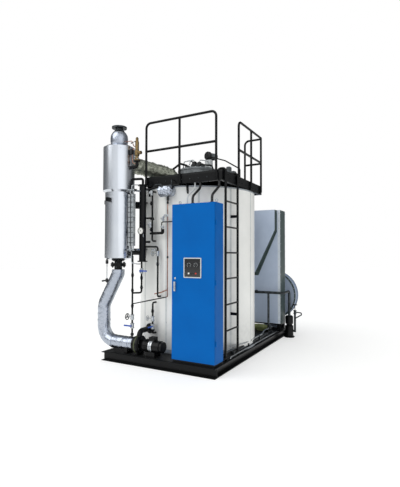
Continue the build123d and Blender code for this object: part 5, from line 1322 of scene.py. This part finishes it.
def dressMachines():
    axisZ = 0.266
    y = -1.5
    bolts("pumpBolts", aroundAxis((-0.388, y, axisZ), (1, 0, 0), 0.097, 8, machines["pumpBolt"])
          + aroundAxis((-0.286, y, axisZ), (1, 0, 0), 0.096, 8, 0.013)
          + [((-0.345, y + s * 0.062, 0.139), (0, 0, 1), 0.016, 0.0) for s in (-1, 1)],
          "darkSteelPipe")
    straps = bmesh.new()
    for x in (-0.122, -0.092):
        ringOn(straps, 0.080, machines["strapRadius"], -0.0125, 0.0125, (x, y, axisZ), (1, 0, 0), 56)
    newPiece("motorStraps", straps, "zincPlate")
    band = bmesh.new()
    ringOn(band, 0.122, 0.1293, -0.010, 0.010, (-0.345, y, axisZ), (1, 0, 0), 64)
    newPiece("pumpGasket", band, "oliveGasket")
    fanX, fanZ = machines["fanAxis"]
    front, back = machines["scrollFaces"]
    bolts("scrollBolts", aroundAxis((fanX, front, fanZ), (0, -1, 0), *machines["scrollBolts"])
          + aroundAxis((fanX, back, fanZ), (0, 1, 0), *machines["scrollBolts"])
          + aroundAxis((fanX, back, fanZ), (0, 1, 0), 0.13, 8, 0.016), "zincPlate")
    rims = bmesh.new()
    for face in (front, back):
        ringOn(rims, 0.434, 0.4625, -0.004, 0.004, (fanX, face, fanZ), (0, 1, 0), 72)
    newPiece("scrollRims", rims, "greenGreyShadeAndRims")
    hub = bmesh.new()
    lathe(hub, [(0, -0.001), (0.16, -0.001), (0.16, 0.006), (0.155, 0.009), (0, 0.009)],
          (fanX, back, fanZ), (0, 1, 0), 48)
    newPiece("motorPlate", hub, "paleBlueEnamel")
    green = bmesh.new()
    place = (0.45, 0.985, 0.196)
    lathe(green, [(0, 0), (0.045, 0), (0.052, 0.008), (0.052, 0.19), (0.045, 0.2), (0.040, 0.2),
                  (0.040, 0.235), (0.05, 0.24), (0.05, 0.262), (0, 0.262)], place, (1, 0, 0), 36)
    plate(green, (0.50, 0.955, 0.131), (0.62, 1.015, 0.16), 0.003)
    newPiece("boosterPump", green, "oliveMachineEnamel")
    ring = bmesh.new()
    lathe(ring, [(0, 0.262), (0.054, 0.262), (0.058, 0.268), (0.058, 0.282), (0.050, 0.288), (0.030, 0.284),
                 (0, 0.284)], place,
          (1, 0, 0), 36)
    newPiece("boosterFlange", ring, "castBronze")
    rims = bmesh.new()
    for i in range(11):
        ringOn(rims, 0.050, 0.0565, -0.0012, 0.0012, (0.50 + 0.012 * i, place[1], place[2]), (1, 0, 0), 40)
    newPiece("boosterFins", rims, "oliveMachineEnamel")


def dressMotors():
    finsAround("motorFins", (-0.155, -1.5, 0.266), (1, 0, 0), 0.084, 0.11, machines["finCount"], 0.010)
    finsAround("fanMotorFins", (0.65, 1.638, 0.76), (0, 1, 0), 0.095, 0.075, machines["finCount"], 0.012)
    box = bmesh.new()
    plate(box, (0.60, 1.60, 0.855), (0.70, 1.67, 0.905), 0.006)
    newPiece("fanTerminalBox", box, "glossBlackEnamel")


# pipes and cable tubes along the right-hand edge of the skid, from the ladder to the feed pump
def dressSkidRuns():
    tubes("cableTubes", [
        ([(0.845, -1.20, 0.131), (0.845, -1.20, 0.185), (0.845, 0.62, 0.185), (0.80, 0.80, 0.185),
          (0.80, 0.98, 0.185)],
         0.014, 0.05),
        ([(0.872, -1.28, 0.131), (0.872, -1.28, 0.160), (0.872, 1.15, 0.160), (0.95, 1.22, 0.160)],
         0.011, 0.04),
    ], "glossBlackEnamel")
    tubes("lightTubes", [
        ([(0.815, -1.10, 0.131), (0.815, -1.10, 0.228), (0.815, -0.72, 0.228), (0.868, -0.50, 0.228),
          (0.868, 0.20, 0.228), (0.80, 0.52, 0.228), (0.80, 0.985, 0.228)], 0.010, 0.06),
        ([(0.89, -1.10, 0.131), (0.89, -1.10, 0.150), (0.89, 0.90, 0.150), (0.89, 1.00, 0.131)],
         0.008, 0.03),
    ], "zincPlate")
    clips = bmesh.new()
    for y in (-0.98, -0.42, 0.14, 0.70):
        plate(clips, (0.826, y - 0.012, 0.130), (0.894, y + 0.012, 0.204), 0.003)
    newPiece("tubeClips", clips, "darkSteelPipe")
    unions = [((0.868, y, 0.228), (0, 1, 0), 0.026, 0.0) for y in (-0.30, 0.06)]
    bolts("tubeUnions", unions, "darkSteelPipe")
    valve = bmesh.new()
    lathe(valve, [(0, -0.045), (0.020, -0.045), (0.024, -0.03), (0.028, 0), (0.024, 0.03), (0.020, 0.045),
                  (0, 0.045)],
          (0.80, 0.80, 0.228), (0, 1, 0), 24)
    lathe(valve, [(0, 0), (0.009, 0), (0.009, 0.05), (0.034, 0.053), (0.034, 0.063), (0, 0.065)],
          (0.80, 0.80, 0.228), (0, 0, 1), 24)
    newPiece("skidValve", valve, "darkSteelPipe")


dressMachines()
dressMotors()
dressSkidRuns()
print("machines dressed")


# economizer and ducts: corner trims, screws, a painted shade strip along the flue cover's edge, and joint
# flanges

economizer = {
    "trimWide": 0.045,
    "trimThick": 0.003,
    "screwInset": 0.018,
    "screwMargin": 0.06,
    "screwCount": 15,
    "screwSize": 0.011,
}


def dressEconomizer():
    low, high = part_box("economizer_box")
    trims = bmesh.new()
    wide, thick = economizer["trimWide"], economizer["trimThick"]
    for x, way in ((low.x, 1), (high.x, -1)):
        for y, deep in ((low.y, 1), (high.y, -1)):
            a = (min(x - way * thick, x + way * wide), min(y - deep * thick, y + deep * thick * 0.3), low.z)
            b = (max(x - way * thick, x + way * wide),
                 max(y - deep * thick, y + deep * thick * 0.3), high.z)
            plate(trims, a, b, 0.0008)
            if way < 0:
                continue
            a = (min(x - way * thick, x + way * thick * 0.3), min(y - deep * thick, y + deep * wide), low.z)
            b = (max(x - way * thick, x + way * thick * 0.3),
                 max(y - deep * thick, y + deep * wide), high.z)
            plate(trims, a, b, 0.0008)
    newPiece("economizerTrims", trims, "paleTrimEnamel")
    rows = []
    inset, margin = economizer["screwInset"], economizer["screwMargin"]
    count, size = economizer["screwCount"], economizer["screwSize"]
    for x, aim in ((low.x - thick, (-1, 0, 0)), (high.x + thick, (1, 0, 0))):
        for y in (low.y + inset, high.y - inset):
            rows += alongLine((x, y, low.z + margin), (x, y, high.z - margin), count, aim, size)
    for y, aim in ((low.y - thick, (0, -1, 0)), (high.y + thick, (0, 1, 0))):
        for x in (low.x + inset, high.x - inset):
            rows += alongLine((x, y, low.z + margin), (x, y, high.z - margin), count, aim, size)
    for x in (low.x + 0.25, (low.x + high.x) / 2, high.x - 0.25):
        rows += alongLine((x, high.y, low.z + 1.25), (x, high.y, high.z - margin), 7, (0, 1, 0), size)
    bolts("economizerScrews", rows, "zincPlate")
    # a flat dark strip on the box front, following the cover's right side and slanted underside: painted
    # shade
    edge = bmesh.new()
    coverLow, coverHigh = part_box("flue_cover")
    wall = low.y - 0.001
    bend, foot = (coverHigh.x, high.z - 0.375), (coverHigh.x - 0.38, high.z - 1.155)
    prism(edge, [(bend[0] - 0.004, wall, high.z - 0.002), (bend[0] + 0.012, wall, high.z - 0.002),
                 (bend[0] + 0.012, wall, bend[1] - 0.03), (foot[0] + 0.03, wall, foot[1] - 0.06),
                 (coverLow.x, wall, foot[1] - 0.06), (coverLow.x, wall, foot[1] - 0.004),
                 (foot[0], wall, foot[1]), (bend[0] - 0.004, wall, bend[1])], (0, -0.005, 0))
    newPiece("coverShadeStrip", edge, "greenGreyShadeAndRims")
    joints = bmesh.new()
    for z in (1.46, 1.95, 2.5):
        plate(joints, (-0.185, 1.385, z), (0.085, 1.605, z + 0.03), 0.001)
    for y in (0.55, 1.05):
        plate(joints, (-0.185, y, 2.575), (0.085, y + 0.03, 2.805), 0.001)
    plate(joints, (-0.012, 0.56, 1.27), (0.262, 0.60, 1.28), 0.001)
    newPiece("ductJoints", joints, "paleBlueEnamel")


dressEconomizer()
print("economizer dressed")


# decks: lozenges on the skid and the platform, the platform's plate with its kerb, and beam bolts

decks = {
    "pitch": 0.042,
    "barLength": 0.030,
    "barWidth": 0.0075,
    "barHeight": 0.0030,
    "casingClear": 0.965,
    "plateThick": 0.005,
    "stripBack": -0.853,
    "stripLeft": 0.345,
    "beamBolt": 0.012,
    "kerb": 0.005,
    "kerbHeight": 0.022,
}


def treadRows(low, high, top, keep):
    pitch = decks["pitch"]
    across = int((high[0] - low[0]) / pitch)
    rows = []
    for j in range(int((high[1] - low[1]) / pitch)):
        for i in range(across | 1):
            x, y = low[0] + pitch * (i + 0.5), low[1] + pitch * (j + 0.5)
            if x < high[0] - 0.01 and keep(x, y):
                rows.append(((x, y, top), (0, 0, 1), 1.0, 0.0))
    return rows


def dressDecks():
    low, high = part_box("skid_deck")
    ring = middleOf("base_ring")

    def onSkid(x, y):
        clearOfCasing = math.hypot(x - ring.x, y - ring.y) > decks["casingClear"]
        clearOfCabinet = not (0.25 < x < 0.90 and y < -1.35)
        return clearOfCasing and clearOfCabinet

    rows = treadRows((low.x + 0.01, low.y + 0.01), (high.x - 0.01, high.y - 0.01), high.z, onSkid)
    sizes = {"Bar Length": decks["barLength"], "Bar Width": decks["barWidth"],
             "Bar Height": decks["barHeight"]}
    newPiece("skidTreads", runTree(treadTree, pointMesh("skidTreads", rows), "blackDeckPaint", sizes),
             "blackDeckPaint")
    low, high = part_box("platform_frame")
    top = high.z + decks["plateThick"]

    def onPlatform(x, y):
        return x > 0.36 or y < -0.865

    deck = bmesh.new()
    edge = decks["kerb"]
    stripBack, stripLeft = decks["stripBack"], decks["stripLeft"]
    corners = [(low.x, low.y), (high.x, low.y), (high.x, high.y), (stripLeft, high.y),
               (stripLeft, stripBack), (low.x, stripBack)]
    prism(deck, [(x, y, high.z) for x, y in corners], (0, 0, top - high.z))
    rim = [(low.x, stripBack), (low.x, low.y), (high.x, low.y), (high.x, high.y)]
    inner = [(low.x + edge, stripBack), (low.x + edge, low.y + edge), (high.x - edge, low.y + edge),
             (high.x - edge, high.y)]
    prism(deck, [(x, y, top + 0.0002) for x, y in rim + inner[::-1]], (0, 0, decks["kerbHeight"]))
    piece = newPiece("chequerDeck", deck, "blackDeckPaint")
    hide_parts("platform_deck")
    rows = treadRows((low.x + 0.012, low.y + 0.012), (high.x - 0.012, high.y - 0.012), top, onPlatform)
    beam, size = 0.5 * (low.z + high.z), decks["beamBolt"]
    studs = alongLine((low.x + 0.09, low.y, beam), (high.x - 0.09, low.y, beam), 9, (0, -1, 0), size)
    studs += alongLine((high.x, low.y + 0.12, beam), (high.x, high.y - 0.12, beam), 10, (1, 0, 0), size)
    bolts("beamBolts", studs, "darkSteelPipe")
    newPiece("platformTreads",
             runTree(treadTree, pointMesh("platformTreads", rows), "blackDeckPaint", sizes),
             "blackDeckPaint")


dressDecks()
print("decks dressed")
